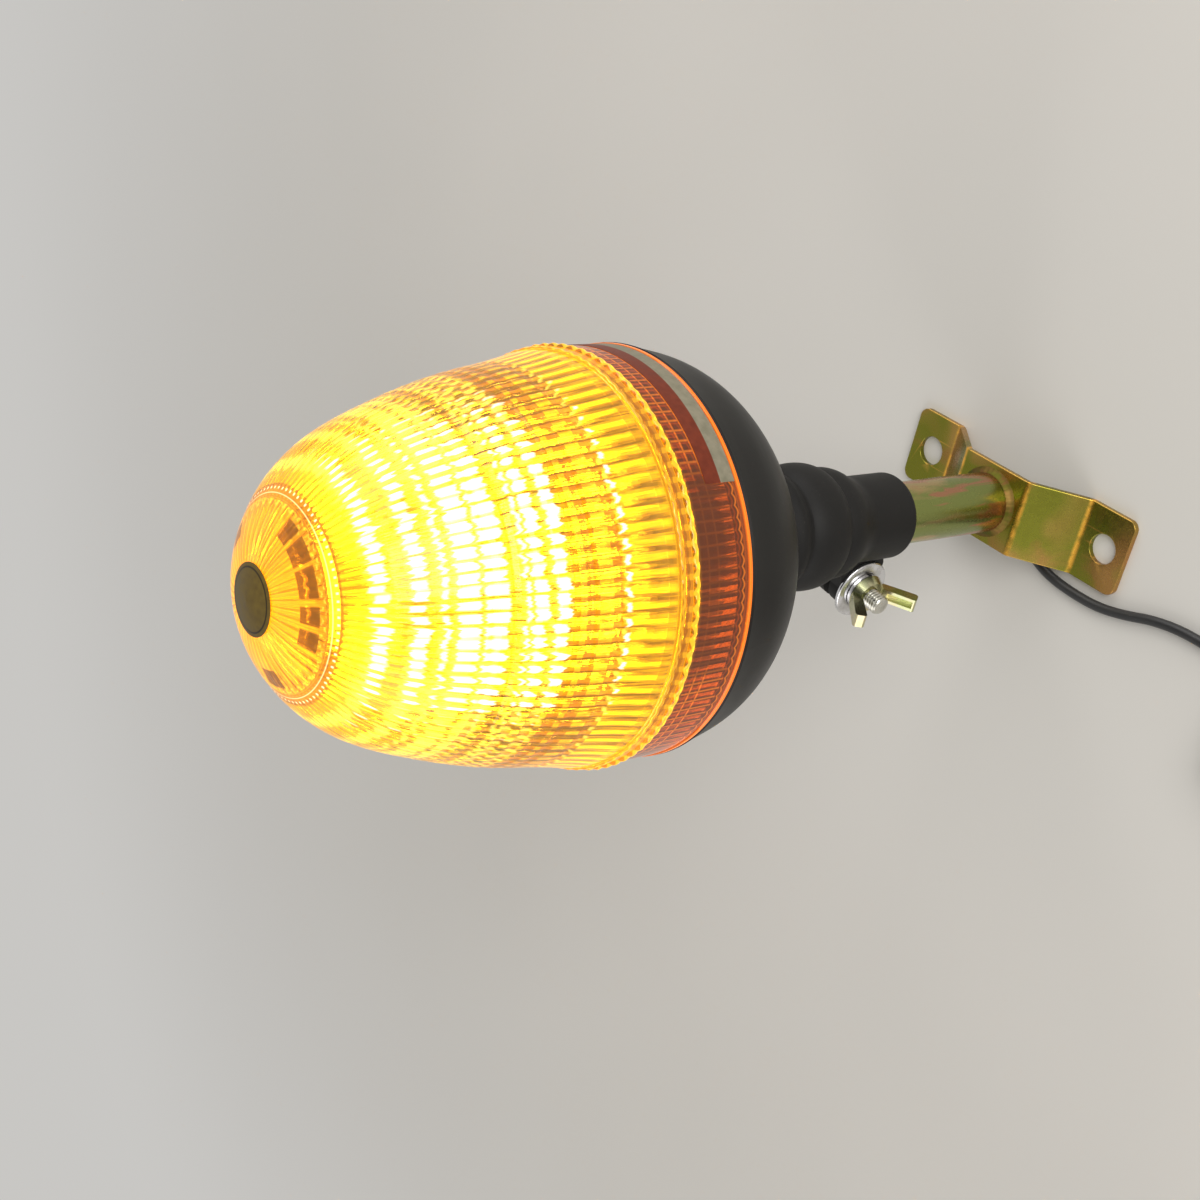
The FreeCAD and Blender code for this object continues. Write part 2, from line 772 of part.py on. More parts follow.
parts["lens_gasket"] = ring(gasket_inner, gasket_outer, gasket_seat, dish_top + gasket_lift)

deck_bottom = rim_z + deck_top - deck_thickness
dish_core = revolve(
    [(0, neck_top), dish_side[0]],
    dish_side,
    [dish_side[-1], (dish_rim_radius, deck_bottom)],
    [(dish_rim_radius, deck_bottom), (0, deck_bottom)],
    [(0, deck_bottom), (0, neck_top)],
)
board_screw_spots = ring_points(standoffs, standoff_circle, 90.0)
deck_screw_spots = ring_points(posts, post_circle, 45.0)
ring_screw_spots = ring_points(ring_screws, ring_screw_circle)


def stand_post(dish, spots, radius, seat):
    """The dish with round posts up to a seat height, each with a blind screw hole from the top."""
    for x, y in spots:
        post = Part.makeCylinder(radius, seat - neck_top, Vector(x, y, neck_top)).common(dish_core)
        depth = min(screw_bite + 1, seat - neck_top - 1)
        hole = Part.makeCylinder(screw_diameter / 2, depth, Vector(x, y, seat - depth))
        dish = dish.fuse(post).cut(hole)
    return dish


def drilled(body, spots, bottom, thickness):
    """A flat piece with a clear screw hole at each spot."""
    for x, y in spots:
        spot = Vector(x, y, bottom - thickness)
        body = body.cut(Part.makeCylinder(screw_diameter / 2, 3 * thickness, spot))
    return body


dish = stand_post(dish, deck_screw_spots, post_radius, deck_bottom)
dish = stand_post(dish, board_screw_spots, standoff_radius, board_z)
dish = stand_post(dish, ring_screw_spots, boss_radius, flange_top)
parts["base_dish"] = dish.removeSplitter()

ring_top = flange_top + ring_thickness
ring_plate = ring(ring_inner, ring_outer, flange_top, ring_top)
parts["neck_clamp_ring"] = drilled(ring_plate, ring_screw_spots, flange_top, ring_thickness)
ring_bite = ring_thickness + 4
parts["neck_screws"] = Part.makeCompound([screw(x, y, ring_top, ring_bite) for x, y in ring_screw_spots])

# ---------------------------------------------------------------- chassis with bayonet collar
deck_z = rim_z + deck_top
collar_inner = collar_outer - collar_wall
collar_crown = rim_z + collar_top
chassis = revolve(
    [(0, deck_bottom), (collar_inner, deck_bottom)],
    [(collar_inner, deck_bottom), (collar_inner, rim_z + collar_foot)],
    [(collar_inner, rim_z + collar_foot), (collar_outer, rim_z + collar_foot)],
    [(collar_outer, rim_z + collar_foot), (collar_outer, collar_crown - collar_wall / 2)],
    [
        (collar_outer, collar_crown - collar_wall / 2),
        (collar_outer - collar_wall / 2, collar_crown),
        (collar_inner, collar_crown - collar_wall / 2),
    ],
    [(collar_inner, collar_crown - collar_wall / 2), (collar_inner, deck_z)],
    [(collar_inner, deck_z), (0, deck_z)],
    [(0, deck_z), (0, deck_bottom)],
)
ledge = ring(collar_outer - 0.5, ledge_reach, rim_z + ledge_bottom, rim_z + ledge_bottom + ledge_thickness)
stop = ring(collar_outer - 0.5, ledge_reach, rim_z + lens_lug_bottom, rim_z + ledge_bottom + 0.5)
stop_degrees = math.degrees(stop_width / collar_outer)
for i in range(bayonets):
    here = 360.0 * i / bayonets
    chassis = chassis.fuse(sector(ledge, here - ledge_before, here + ledge_after))
    chassis = chassis.fuse(sector(stop, here - ledge_before, here - ledge_before + stop_degrees))
tower_screw_spots = ring_points(tower_screws, tower_screw_circle, 45.0)
chassis = drilled(chassis, deck_screw_spots + tower_screw_spots, deck_bottom, deck_thickness)
parts["chassis"] = chassis.cut(ring(0, wire_hole_radius, deck_bottom - 1, deck_z + 1)).removeSplitter()
parts["chassis_screws"] = Part.makeCompound([screw(x, y, deck_z) for x, y in deck_screw_spots])

# ---------------------------------------------------------------- driver board in the dish
driver_board = ring(0, board_radius, board_z, board_z + board_thickness)
parts["driver_board"] = drilled(driver_board, board_screw_spots, board_z, board_thickness)
board_top = board_z + board_thickness
parts["board_screws"] = Part.makeCompound([screw(x, y, board_top) for x, y in board_screw_spots])
coil_form = Part.makeCylinder(7.0, 8.0, Vector(-22, -8, board_top))
capacitors = [Part.makeCylinder(4.0, 11.0, Vector(x, 18, board_top)) for x in (-16, -6)]
controller = Part.makeBox(9, 7, 1.6, Vector(14, -6, board_top))
drivers = [Part.makeBox(6.5, 6.0, 2.3, Vector(x, -28, board_top)) for x in (-4, 6, 16)]
diodes = [Part.makeBox(5.0, 3.0, 2.2, Vector(12, y, board_top)) for y in (12, 18)]
parts["driver_parts"] = Part.makeCompound([coil_form, *capacitors, controller, *drivers, *diodes])

# ---------------------------------------------------------------- light tower
def side_prism(apothem, bottom, top):
    """Upright prism with flats square to the tower's board directions."""
    corner = apothem / math.cos(math.pi / tower_sides)
    spots = ring_points(tower_sides, corner, 180.0 / tower_sides)
    return plate([Vector(x, y, bottom) for x, y in spots], [0] * tower_sides, Vector(0, 0, top - bottom))


tower_top = deck_z + tower_height
tower = side_prism(tower_apothem, deck_z, tower_top)
tower = tower.fuse(ring(0, tower_foot_reach, deck_z, deck_z + tower_foot_flange))
tower = tower.cut(ring(0, tower_bore, deck_z - 1, tower_top + 1))
foot_top = deck_z + tower_foot_flange
parts["led_heatsink"] = drilled(tower, tower_screw_spots, deck_z, tower_foot_flange).removeSplitter()
tower_bite = tower_foot_flange + deck_thickness
parts["tower_screws"] = Part.makeCompound([screw(x, y, foot_top, tower_bite) for x, y in tower_screw_spots])

strip_board_bottom = foot_top + strip_board_margin
strip_board = Part.makeBox(
    strip_board_thickness,
    strip_board_width,
    tower_top - strip_board_bottom,
    Vector(tower_apothem, -strip_board_width / 2, strip_board_bottom),
)
parts["led_side_boards"] = Part.makeCompound(around(strip_board, tower_sides))
top_board_top = tower_top + strip_board_thickness
parts["led_top_board"] = ring(0, top_board_radius, tower_top, top_board_top)

chip_face = tower_apothem + strip_board_thickness
first_chip = strip_board_bottom + strip_board_margin
last_chip = tower_top - cap_ring_height - strip_board_margin - chip_size
chip_pitch = (last_chip - first_chip) / (chip_rows - 1)
chips = []
for row in range(chip_rows):
    corner = Vector(chip_face, -chip_size / 2, first_chip + row * chip_pitch)
    chips += around(Part.makeBox(chip_thickness, chip_size, chip_size, corner), tower_sides)
parts["led_side_chips"] = Part.makeCompound(chips)
top_corner = Vector(-chip_size / 2, -chip_size / 2, top_board_top)
top_chip = Part.makeBox(chip_size, chip_size, chip_thickness, top_corner)
outer_chip = top_chip.copy()
outer_chip.translate(Vector(top_chip_circle, 0, 0))
parts["led_top_chips"] = Part.makeCompound([top_chip] + around(outer_chip, top_chips))

cap_outer = chip_face + cap_ring_wall
cap_ring = side_prism(cap_outer, tower_top - cap_ring_height, tower_top)
parts["tower_cap_ring"] = cap_ring.cut(side_prism(chip_face, tower_top - cap_ring_height, tower_top))

# ---------------------------------------------------------------- wires inside
def wire_pair(bottom, top):
    """Two insulated wires running up beside the axis."""
    length = top - bottom
    spots = [Vector(side * wire_spread, 0, bottom) for side in (-1, 1)]
    return Part.makeCompound([Part.makeCylinder(wire_diameter / 2, length, spot) for spot in spots])


parts["neck_wires"] = wire_pair(carrier_top, board_z)
parts["tower_wires"] = wire_pair(board_top, tower_top)

# ---------------------------------------------------------------- lens
dome_points = [
    (waist_radius, dome_foot),
    (65.8, 40.0),
    (62.8, 58.0),
    (54.9, 86.0),
    (45.1, 108.0),
    (31.0, 123.0),
    (16.2, 131.0),
    (0.0, lens_height),
]
dome_curve = Part.BSplineCurve()
dome_curve.interpolate([Vector(radius, 0, height) for radius, height in dome_points])


def dome_radius(height):
    """Outer radius of the dome at a height above the rim."""
    low, high = dome_curve.FirstParameter, dome_curve.LastParameter
    for _ in range(40):
        middle = (low + high) / 2
        if dome_curve.value(middle).z < height:
            low = middle
        else:
            high = middle
    return dome_curve.value(low).x


def raised(points):
    """Lens points, given above the rim, lifted to the row's frame."""
    return [(radius, rim_z + height) for radius, height in points]


first_bead = [
    (band_radius, band_top),
    (band_radius + bead_swell, band_top + bead_height / 2),
    (band_radius - 0.2, band_top + bead_height),
]
beam = second_bead_bottom + second_bead_height
second_bead = [
    (band_radius - 0.4, second_bead_bottom),
    (band_radius - 0.4 + second_bead_swell, second_bead_bottom + second_bead_height / 2),
    (band_radius - 0.4, beam),
]
shell = revolve(
    raised([(0, 0), (lens_rim_radius, 0)]),
    raised([(lens_rim_radius, 0), (lens_rim_radius, lens_rim_height)]),
    raised([(lens_rim_radius, lens_rim_height), (band_radius, lens_rim_height)]),
    raised([(band_radius, lens_rim_height), first_bead[0]]),
    raised(first_bead),
    raised([first_bead[-1], second_bead[0]]),
    raised(second_bead),
    raised([second_bead[-1], (waist_radius, beam + 0.4)]),
    raised([(waist_radius, beam + 0.4), dome_points[0]]),
    raised(dome_points),
    raised([dome_points[-1], (0, 0)]),
)
groove_heights = [47.6, 56.5, 62.5, 68.2, 74.0, 79.8, 85.4]
for height in groove_heights:
    edge = dome_radius(height)
    shell = shell.cut(
        polygon_ring(
            (edge - groove_depth, rim_z + height),
            (edge + 1, rim_z + height - groove_width),
            (edge + 1, rim_z + height + groove_width),
        )
    )


def star(inner, outer, flutes, height):
    """Closed zigzag of flute crests and valleys at one height above the rim."""
    points = []
    for i in range(flutes):
        for radius, step in ((inner, 0.0), (outer, 0.5)):
            angle = 2 * math.pi * (i + step) / flutes
            points.append(Vector(radius * math.cos(angle), radius * math.sin(angle), rim_z + height))
    return Part.makePolygon(points + points[:1])


inner_band = band_radius - lens_wall
flute_levels = [dome_foot + 0.6, 44.0, 58.0, 72.0, 86.0, 98.0, 108.0, 116.0, flute_top]
hollow_levels = [dome_foot] + flute_levels[1:-1] + [flute_top - 0.4]
hollow_points = [(inner_band, 0)] + [(dome_radius(h) - lens_wall - slip, h) for h in hollow_levels]
cap_hollow = [hollow_points[-1], (24.6, 124.2), (14.0, 129.4), (0.0, lens_height - lens_wall)]
hollow = revolve(
    raised([(0, -1), (inner_band, -1)]),
    raised([(inner_band, -1), hollow_points[0]]),
    raised([hollow_points[0], (inner_band, second_bead_bottom)]),
    raised([(inner_band, second_bead_bottom), hollow_points[1]]),
    raised(hollow_points[1:]),
    raised(cap_hollow),
    raised([cap_hollow[-1], (0, -1)]),
)
lens = shell.cut(hollow)
band_crest, band_valley = inner_band, inner_band + band_flute_depth
band_levels = (band_flute_bottom, band_top - 0.6)
band_stars = [star(band_crest, band_valley, band_flutes, height) for height in band_levels]
lens = lens.cut(Part.makeLoft(band_stars, True, True))
crests = [dome_radius(height) - lens_wall for height in flute_levels]
dome_stars = [star(r, r + flute_depth, dome_flutes, h) for r, h in zip(crests, flute_levels)]
lens = lens.cut(Part.makeLoft(dome_stars, True, True))
lug_low, lug_high = rim_z + lens_lug_bottom, rim_z + lens_lug_bottom + lens_lug_height
lug_ring = ring(lens_lug_inner, inner_band + 0.3, lug_low, lug_high)
for i in range(bayonets):
    here = 360.0 * i / bayonets
    lens = lens.fuse(sector(lug_ring, here - lens_lug_angle / 2, here + lens_lug_angle / 2))
parts["lens"] = lens

label_ring = ring(band_radius, band_radius + label_thickness, rim_z + label_bottom, rim_z + label_top)
parts["band_label"] = sector(label_ring, label_start, label_start + label_sweep)
tip_cut = ring(0, tip_disc_radius, rim_z + 120, rim_z + lens_height + 5)
lifted_shell = shell.copy()
lifted_shell.translate(Vector(0, 0, tip_disc_thickness))
parts["tip_disc"] = lifted_shell.common(tip_cut).cut(shell)

# ---------------------------------------------------------------- write one file per piece
for name, shape in parts.items():
    shape.exportStep(f"parts/{name}.step")
    print(f"{name}: {len(shape.Solids)} solid, {shape.Volume:.1f} mm3, valid {shape.isValid()}")
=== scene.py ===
import math

import bmesh
import bpy
import numpy as np
from mathutils import Matrix, Vector
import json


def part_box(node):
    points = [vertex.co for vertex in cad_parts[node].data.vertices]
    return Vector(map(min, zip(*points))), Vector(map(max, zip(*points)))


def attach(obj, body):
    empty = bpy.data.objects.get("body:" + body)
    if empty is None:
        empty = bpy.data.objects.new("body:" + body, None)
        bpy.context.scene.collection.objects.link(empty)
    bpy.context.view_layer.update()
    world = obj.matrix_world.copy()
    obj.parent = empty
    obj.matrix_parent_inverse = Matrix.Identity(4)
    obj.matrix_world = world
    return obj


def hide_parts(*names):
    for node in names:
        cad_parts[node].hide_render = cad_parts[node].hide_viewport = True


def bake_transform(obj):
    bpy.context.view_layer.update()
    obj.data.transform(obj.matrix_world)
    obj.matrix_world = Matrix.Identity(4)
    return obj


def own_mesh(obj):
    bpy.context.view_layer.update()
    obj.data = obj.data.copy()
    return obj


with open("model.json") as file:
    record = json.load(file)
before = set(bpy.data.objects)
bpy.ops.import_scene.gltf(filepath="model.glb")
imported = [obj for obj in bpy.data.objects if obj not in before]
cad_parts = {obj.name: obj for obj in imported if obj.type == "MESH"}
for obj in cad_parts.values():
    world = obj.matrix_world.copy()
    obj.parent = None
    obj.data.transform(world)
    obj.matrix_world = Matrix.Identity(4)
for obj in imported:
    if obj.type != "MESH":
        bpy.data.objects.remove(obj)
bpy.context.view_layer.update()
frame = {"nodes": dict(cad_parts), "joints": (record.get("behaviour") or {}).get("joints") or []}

# ---------------------------------------------------------------- foot bracket
# One strip of 2.5 mm steel, blanked with two bolt holes and a cable hole, then bent four times
# into a hat. It is zinc plated and yellow passivated after the pole is welded on, so its colour
# drifts between gold, green and pink. Its edges are brightened for wear and as painted highlight,
# and its outer bends carry painted highlights.
MM = 0.001
strip_thickness = 2.5 * MM
strip_edge_round = 0.35 * MM
strip_bend_radius = 2.5 * MM
strip_corner = 4.0 * MM
crown_length = 33.5 * MM
web_run = 19.2 * MM
bolt_hole_radius = 6.0 * MM
bolt_hole_offset = 46.9 * MM
cable_hole_radius = 5.5 * MM


def plug(tree, value, socket):
    """Links a node's output to an input, or sets a plain value on it. Colours are three numbers."""
    if isinstance(value, bpy.types.NodeSocket):
        tree.links.new(value, socket)
    else:
        socket.default_value = (*value, 1) if socket.type == "RGBA" else value


def node(tree, kind, **given):
    """Adds a shader node. Lower-case names are its settings; Title_Case names and in_0 are its inputs."""
    made = tree.nodes.new("ShaderNode" + kind)
    inputs = {}
    for name, value in given.items():
        if name.startswith("in_"):
            inputs[int(name[3:])] = value
        elif name[0].islower():
            setattr(made, name, value)
        else:
            inputs[name.replace("_", " ")] = value
    for name, value in inputs.items():
        plug(tree, value, made.inputs[name])
    return made


def calc(tree, operation, *values):
    """Adds a maths node on sockets or numbers and gives its output."""
    made = node(tree, "Math", operation=operation)
    for value, socket in zip(values, made.inputs):
        plug(tree, value, socket)
    return made.outputs[0]


def fade(tree, value, start, end, low=0.0, high=1.0):
    """A share that goes from low to high while a value goes from start to end."""
    return node(tree, "MapRange", in_0=value, in_1=start, in_2=end, in_3=low, in_4=high).outputs[0]


def band_of(tree, value, middle, half, soft):
    """A mask that is 1 within half a width of a middle value and fades to 0 over a soft edge."""
    away = calc(tree, "ABSOLUTE", calc(tree, "SUBTRACT", value, middle))
    return fade(tree, away, half + soft, half)


def own_place(tree):
    """The shaded point's place in the frame, in metres."""
    return node(tree, "TexCoord").outputs["Object"]


def noise(tree, spot, scale, detail=2.0, distortion=0.0):
    """A cloudy pattern that swings about 0.5."""
    made = node(tree, "TexNoise", Vector=spot, Scale=scale, Detail=detail, Distortion=distortion)
    return made.outputs["Fac"]


def blend_colour(tree, share, low, high, blend_type="MIX"):
    """Mixes two colours by a share from 0 to 1 and gives the result."""
    mixer = node(tree, "Mix", data_type="RGBA", blend_type=blend_type, in_0=share, in_6=low, in_7=high)
    return mixer.outputs[2]


def colour_ramp(tree, share, *stops):
    """A colour ramp over (place, colour) stops, and gives its colour."""
    ramp = node(tree, "ValToRGB", Fac=share)
    bands = ramp.color_ramp.elements
    while len(bands) < len(stops):
        bands.new(0.5)
    for band, (place, colour) in zip(bands, stops):
        band.position = place
        band.color = (*colour, 1)
    return ramp.outputs["Color"]


def effect_group(title, inputs, outputs):
    """Starts a node group and gives it with its named inputs and outputs."""
    group = bpy.data.node_groups.new(title, "ShaderNodeTree")
    for name, value in inputs.items():
        kind = "NodeSocketColor" if isinstance(value, tuple) else "NodeSocketFloat"
        socket = group.interface.new_socket(name=name, in_out="INPUT", socket_type=kind)
        socket.default_value = (*value, 1) if isinstance(value, tuple) else value
    for name in outputs:
        kind = "NodeSocketColor" if name == "Color" else "NodeSocketFloat"
        group.interface.new_socket(name=name, in_out="OUTPUT", socket_type=kind)
    return group, group.nodes.new("NodeGroupInput").outputs, group.nodes.new("NodeGroupOutput").inputs


def place_group(tree, group, **values):
    """Places an effect group in a material with its own values."""
    placed = tree.nodes.new("ShaderNodeGroup")
    placed.node_tree = group
    for name, value in values.items():
        plug(tree, value, placed.inputs[name.replace("_", " ")])
    return placed.outputs


def finish(name, **sockets):
    """Starts a material whose plain values sit on its Principled shader."""
    material = bpy.data.materials.new(name)
    material.use_nodes = True
    tree = material.node_tree
    shader = tree.nodes["Principled BSDF"]
    for title, value in sockets.items():
        plug(tree, value, shader.inputs[title.replace("_", " ")])
    return material, tree, shader


def emboss(tree, shader, height, depth, strength=1.0):
    """Turns a height into relief of the given depth."""
    bump = node(tree, "Bump", Strength=strength, Distance=depth, Height=height)
    tree.links.new(bump.outputs[0], shader.inputs["Normal"])


def feed(tree, shader, effect, depth):
    """Links an effect's colour and roughness to a shader, and its height as relief."""
    tree.links.new(effect["Color"], shader.inputs["Base Color"])
    tree.links.new(effect["Roughness"], shader.inputs["Roughness"])
    emboss(tree, shader, effect["Height"], depth)


def overlay(material, mask, colour):
    """Lays a colour over a material's own where a mask is 1."""
    tree = material.node_tree
    socket = tree.nodes["Principled BSDF"].inputs["Base Color"]
    tree.links.new(blend_colour(tree, mask, socket.links[0].from_socket, colour), socket)


def passivated_zinc_group():
    """Colour drift, cloudy roughness and fine drawn lines of yellow passivated zinc, with edges brightened
    for wear and as painted highlight, and a share of painted shade that darkens it all.
    """
    group, given, out = effect_group(
        "passivated_zinc",
        {
            "Patch Size": 0.02,
            "Green": 0.5,
            "Pink": 0.5,
            "Pale": 0.0,
            "Wear": 0.7,
            "Stretch": 1.0,
            "Edge": 0.08,
            "Soot": 0.0,
            "Base Roughness": 0.3,
        },
        ("Color", "Roughness", "Height"),
    )
    spot = own_place(group)
    squeeze = node(group, "CombineXYZ", X=1.0, Y=1.0, Z=given["Stretch"]).outputs[0]
    stretched = node(group, "Mapping", Vector=spot, Scale=squeeze).outputs[0]
    scale = calc(group, "DIVIDE", 1.0, given["Patch Size"])
    drift = noise(group, stretched, scale, 3.0, 1.2)
    second = node(group, "TexNoise", noise_dimensions="4D", Vector=stretched, W=4.0, Scale=scale, Detail=2.0)
    steepness = calc(group, "DIVIDE", 0.5, given["Edge"])

    def patch(pattern, middle, share):
        """How much of one more colour there is: none or its share, as a pattern passes its middle."""
        rise = calc(group, "MULTIPLY_ADD", calc(group, "SUBTRACT", pattern, middle), steepness, 0.5)
        return calc(group, "MULTIPLY", share, calc(group, "MINIMUM", calc(group, "MAXIMUM", rise, 0.0), 1.0))

    gold = colour_ramp(group, drift, (0.3, (0.34, 0.20, 0.05)), (0.7, (0.56, 0.38, 0.10)))
    gold = blend_colour(group, given["Pale"], gold, (0.64, 0.59, 0.38))
    green = blend_colour(group, given["Pale"], (0.20, 0.215, 0.025), (0.44, 0.53, 0.27))
    pink = blend_colour(group, given["Pale"], (0.42, 0.15, 0.07), (0.70, 0.42, 0.30))
    passivated = blend_colour(group, patch(second.outputs["Fac"], 0.49, given["Green"]), gold, green)
    passivated = blend_colour(group, patch(drift, 0.56, given["Pink"]), passivated, pink)
    # painted shade: this share darkens the whole surface towards near black
    passivated = blend_colour(group, given["Soot"], passivated, (0.02, 0.015, 0.005))
    # edges found by pointiness are brightened orange-gold: part wear, part painted highlight
    corner = node(group, "NewGeometry").outputs["Pointiness"]
    worn_and_sheen = calc(group, "MULTIPLY", fade(group, corner, 0.52, 0.60), given["Wear"])
    group.links.new(blend_colour(group, worn_and_sheen, passivated, (0.85, 0.46, 0.10)), out["Color"])
    cloud = noise(group, spot, 500.0)
    lines = noise(group, node(group, "Mapping", Vector=spot, Scale=(900, 900, 60)).outputs[0], 1.0)
    smoother = calc(group, "SUBTRACT", given["Base Roughness"], 0.05)
    group.links.new(calc(group, "MULTIPLY_ADD", cloud, 0.10, smoother), out["Roughness"])
    group.links.new(calc(group, "MULTIPLY_ADD", lines, 0.6, cloud), out["Height"])
    return group


passivated_zinc = passivated_zinc_group()


def yellow_zinc(name, roughness, **shares):
    """Yellow passivated zinc, with its own patch size and colour shares."""
    material, tree, shader = finish(name, Metallic=1.0)
    effect = place_group(tree, passivated_zinc, Base_Roughness=roughness, **shares)
    feed(tree, shader, effect, 0.006 * MM)
    return material


def link_mesh(name, points, faces, material, slot, sharp):
    """Makes a piece from points and faces, with edges sharper than an angle in degrees left crisp."""
    mesh = bpy.data.meshes.new(name)
    mesh.from_pydata([tuple(p) for p in points], [], faces)
    piece = bpy.data.objects.new(name, mesh)
    bpy.context.scene.collection.objects.link(piece)
    mesh.materials.append(material)
    mesh.polygons.foreach_set("use_smooth", [True] * len(mesh.polygons))
    mesh.set_sharp_from_angle(angle=math.radians(sharp))
    return piece


def paint_bend_highlights(material):
    """Paints highlights on the strip's outer bends, bright orange-gold and broken up by noise."""
    tree = material.node_tree
    spot = own_place(tree)
    along = calc(tree, "ABSOLUTE", node(tree, "SeparateXYZ", Vector=spot).outputs["X"])
    rubbed = 0.0
    for bend in (crown_length / 2, crown_length / 2 + web_run):
        rubbed = calc(tree, "MAXIMUM", rubbed, band_of(tree, along, bend, 0.3 * MM, 1.0 * MM))
    broken_highlight = fade(tree, noise(tree, spot, 260.0, 3.0), 0.40, 0.55, 0.35)
    # painted highlight: the outer bends are laid over in bright orange-gold
    overlay(material, calc(tree, "MULTIPLY", rubbed, broken_highlight), (0.95, 0.50, 0.07))


bracket_low, bracket_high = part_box("bracket")


def strip_run():
    """Straight and bent stretches of half the strip, from the crown's middle out, as (length, turn)."""
    rise = bracket_high.z - bracket_low.z - strip_thickness
    slope = math.atan2(rise, web_run)
    radius = strip_bend_radius + strip_thickness / 2
    trim = radius * math.tan(slope / 2)
    corner = crown_length / 2 - strip_thickness / 2 * math.tan(slope / 2)
    flange = bracket_high.x - corner - web_run
    return [
        (corner - trim, 0.0),
        (radius * slope, -slope),
        (math.hypot(rise, web_run) - 2 * trim, 0.0),
        (radius * slope, slope),
        (flange - trim, 0.0),
    ]


def bend_strip(distance):
    """Place and heading of the strip's middle layer at a distance from the crown's middle."""
    side = math.copysign(1.0, distance)
    left = abs(distance)
    x, z, heading = 0.0, bracket_high.z - strip_thickness / 2, 0.0
    for length, turn in strip_run():
        step = min(left, length)
        if turn:
            radius = length / abs(turn)
            swept = turn * step / length
            x += radius * abs(math.sin(heading + swept) - math.sin(heading))
            z -= radius * abs(math.cos(heading + swept) - math.cos(heading))
            heading += swept
        else:
            x += step * math.cos(heading)
            z += step * math.sin(heading)
        left -= step
        if left <= 0:
            break
    return side * x, z, side * heading


def round_outline(center_x, half_x, half_y, radius, steps=10):
    """Points of a rounded rectangle, or of a circle when the radius equals both halves."""
    points = []
    for quarter in range(4):
        turn = math.pi / 2 * quarter
        sign_x, sign_y = math.cos(turn + math.pi / 4), math.sin(turn + math.pi / 4)
        corner_x = center_x + math.copysign(half_x - radius, sign_x)
        corner_y = math.copysign(half_y - radius, sign_y)
        for i in range(steps):
            angle = turn + math.pi / 2 * i / steps
            points.append((corner_x + radius * math.cos(angle), corner_y + radius * math.sin(angle)))
    return points


def bracket_mesh():
    """The flat blank with rounded edges, cut across at its bends, then bent."""
    run = strip_run()
    half_length = sum(length for length, turn in run)
    half_width = bracket_high.y
    hole_place = half_length - (bracket_high.x - bolt_hole_offset)
    blank = bpy.data.curves.new("bracket_blank", "CURVE")
    blank.dimensions = "2D"
    blank.fill_mode = "BOTH"
    blank.extrude = strip_thickness / 2 - strip_edge_round
    blank.bevel_depth = strip_edge_round
    blank.bevel_resolution = 2
    blank.offset = -strip_edge_round
    outlines = [round_outline(0, half_length, half_width, strip_corner)]
    holes = [(-hole_place, bolt_hole_radius), (hole_place, bolt_hole_radius), (0, cable_hole_radius)]
    outlines += [round_outline(place, radius, radius, radius, 12) for place, radius in holes]
    for outline in outlines:
        spline = blank.splines.new("POLY")
        spline.points.add(len(outline) - 1)
        for point, (x, y) in zip(spline.points, outline):
            point.co = (x, y, 0, 1)
        spline.use_cyclic_u = True
    holder = bpy.data.objects.new("bracket_blank", blank)
    bpy.context.scene.collection.objects.link(holder)
    bpy.context.view_layer.update()
    flat = bpy.data.meshes.new_from_object(holder.evaluated_get(bpy.context.evaluated_depsgraph_get()))
    bpy.data.objects.remove(holder)
    work = bmesh.new()
    work.from_mesh(flat)
    bmesh.ops.remove_doubles(work, verts=work.verts, dist=1e-6)
    cuts, start = [], 0.0
    for length, turn in run:
        steps = 8 if turn else 3
        cuts += [start + length * i / steps for i in range(1, steps + 1)]
        start += length
    for place in [side * cut for cut in cuts[:-1] for side in (-1, 1)]:
        whole = work.verts[:] + work.edges[:] + work.faces[:]
        bmesh.ops.bisect_plane(work, geom=whole, plane_co=(place, 0, 0), plane_no=(1, 0, 0))
    for vertex in work.verts:
        x, z, heading = bend_strip(vertex.co.x)
        lift = vertex.co.z
        vertex.co = Vector((x - lift * math.sin(heading), vertex.co.y, z + lift * math.cos(heading)))
    bmesh.ops.recalc_face_normals(work, faces=work.faces)
    points = [vertex.co.copy() for vertex in work.verts]
    faces = [[vertex.index for vertex in face.verts] for face in work.faces]
    work.free()
    return points, faces


bracket_zinc = yellow_zinc("bracket_yellow_zinc", 0.27, Patch_Size=0.034, Green=0.9, Pink=0.5, Wear=0.5)
paint_bend_highlights(bracket_zinc)
bracket = link_mesh("foot_bracket", *bracket_mesh(), bracket_zinc, "yellow_zinc", 80.0)
even_shade = bracket.modifiers.new("even_shade", "WEIGHTED_NORMAL")
even_shade.weight = 100
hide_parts("bracket")
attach(bracket, "mount")

# ---------------------------------------------------------------- pole and its weld
# A 24 mm drawn steel tube, cut square and lightly chamfered, welded all round on the crown.
# The weld is a hand-laid fillet with close ripples, plated together with the tube.
pole_wall = 2.0 * MM
pole_chamfer = 0.5 * MM
weld_leg = 2.2 * MM
weld_sink = 0.2 * MM
weld_ripples = 38
ripple_steps = 8


def grid_faces(rows, columns, first=0, closed=False, flip=False):
    """Quads between rows of points that run round; closed also joins the last row to the first."""
    faces = []
    for row in range(rows if closed else rows - 1):
        here, there = first + row * columns, first + (row + 1) % rows * columns
        for i in range(columns):
            j = (i + 1) % columns
            if flip:
                faces.append((here + i, there + i, there + j, here + j))
            else:
                faces.append((here + i, here + j, there + j, there + i))
    return faces


def turned_mesh(profile, columns=96):
    """Points and faces of a closed (radius, height) profile turned about the pole axis."""
    points = []
    for radius, height in profile:
        for i in range(columns):
            angle = 2 * math.pi * i / columns
            points.append((radius * math.cos(angle), radius * math.sin(angle), height))
    return points, grid_faces(len(profile), columns, closed=True)


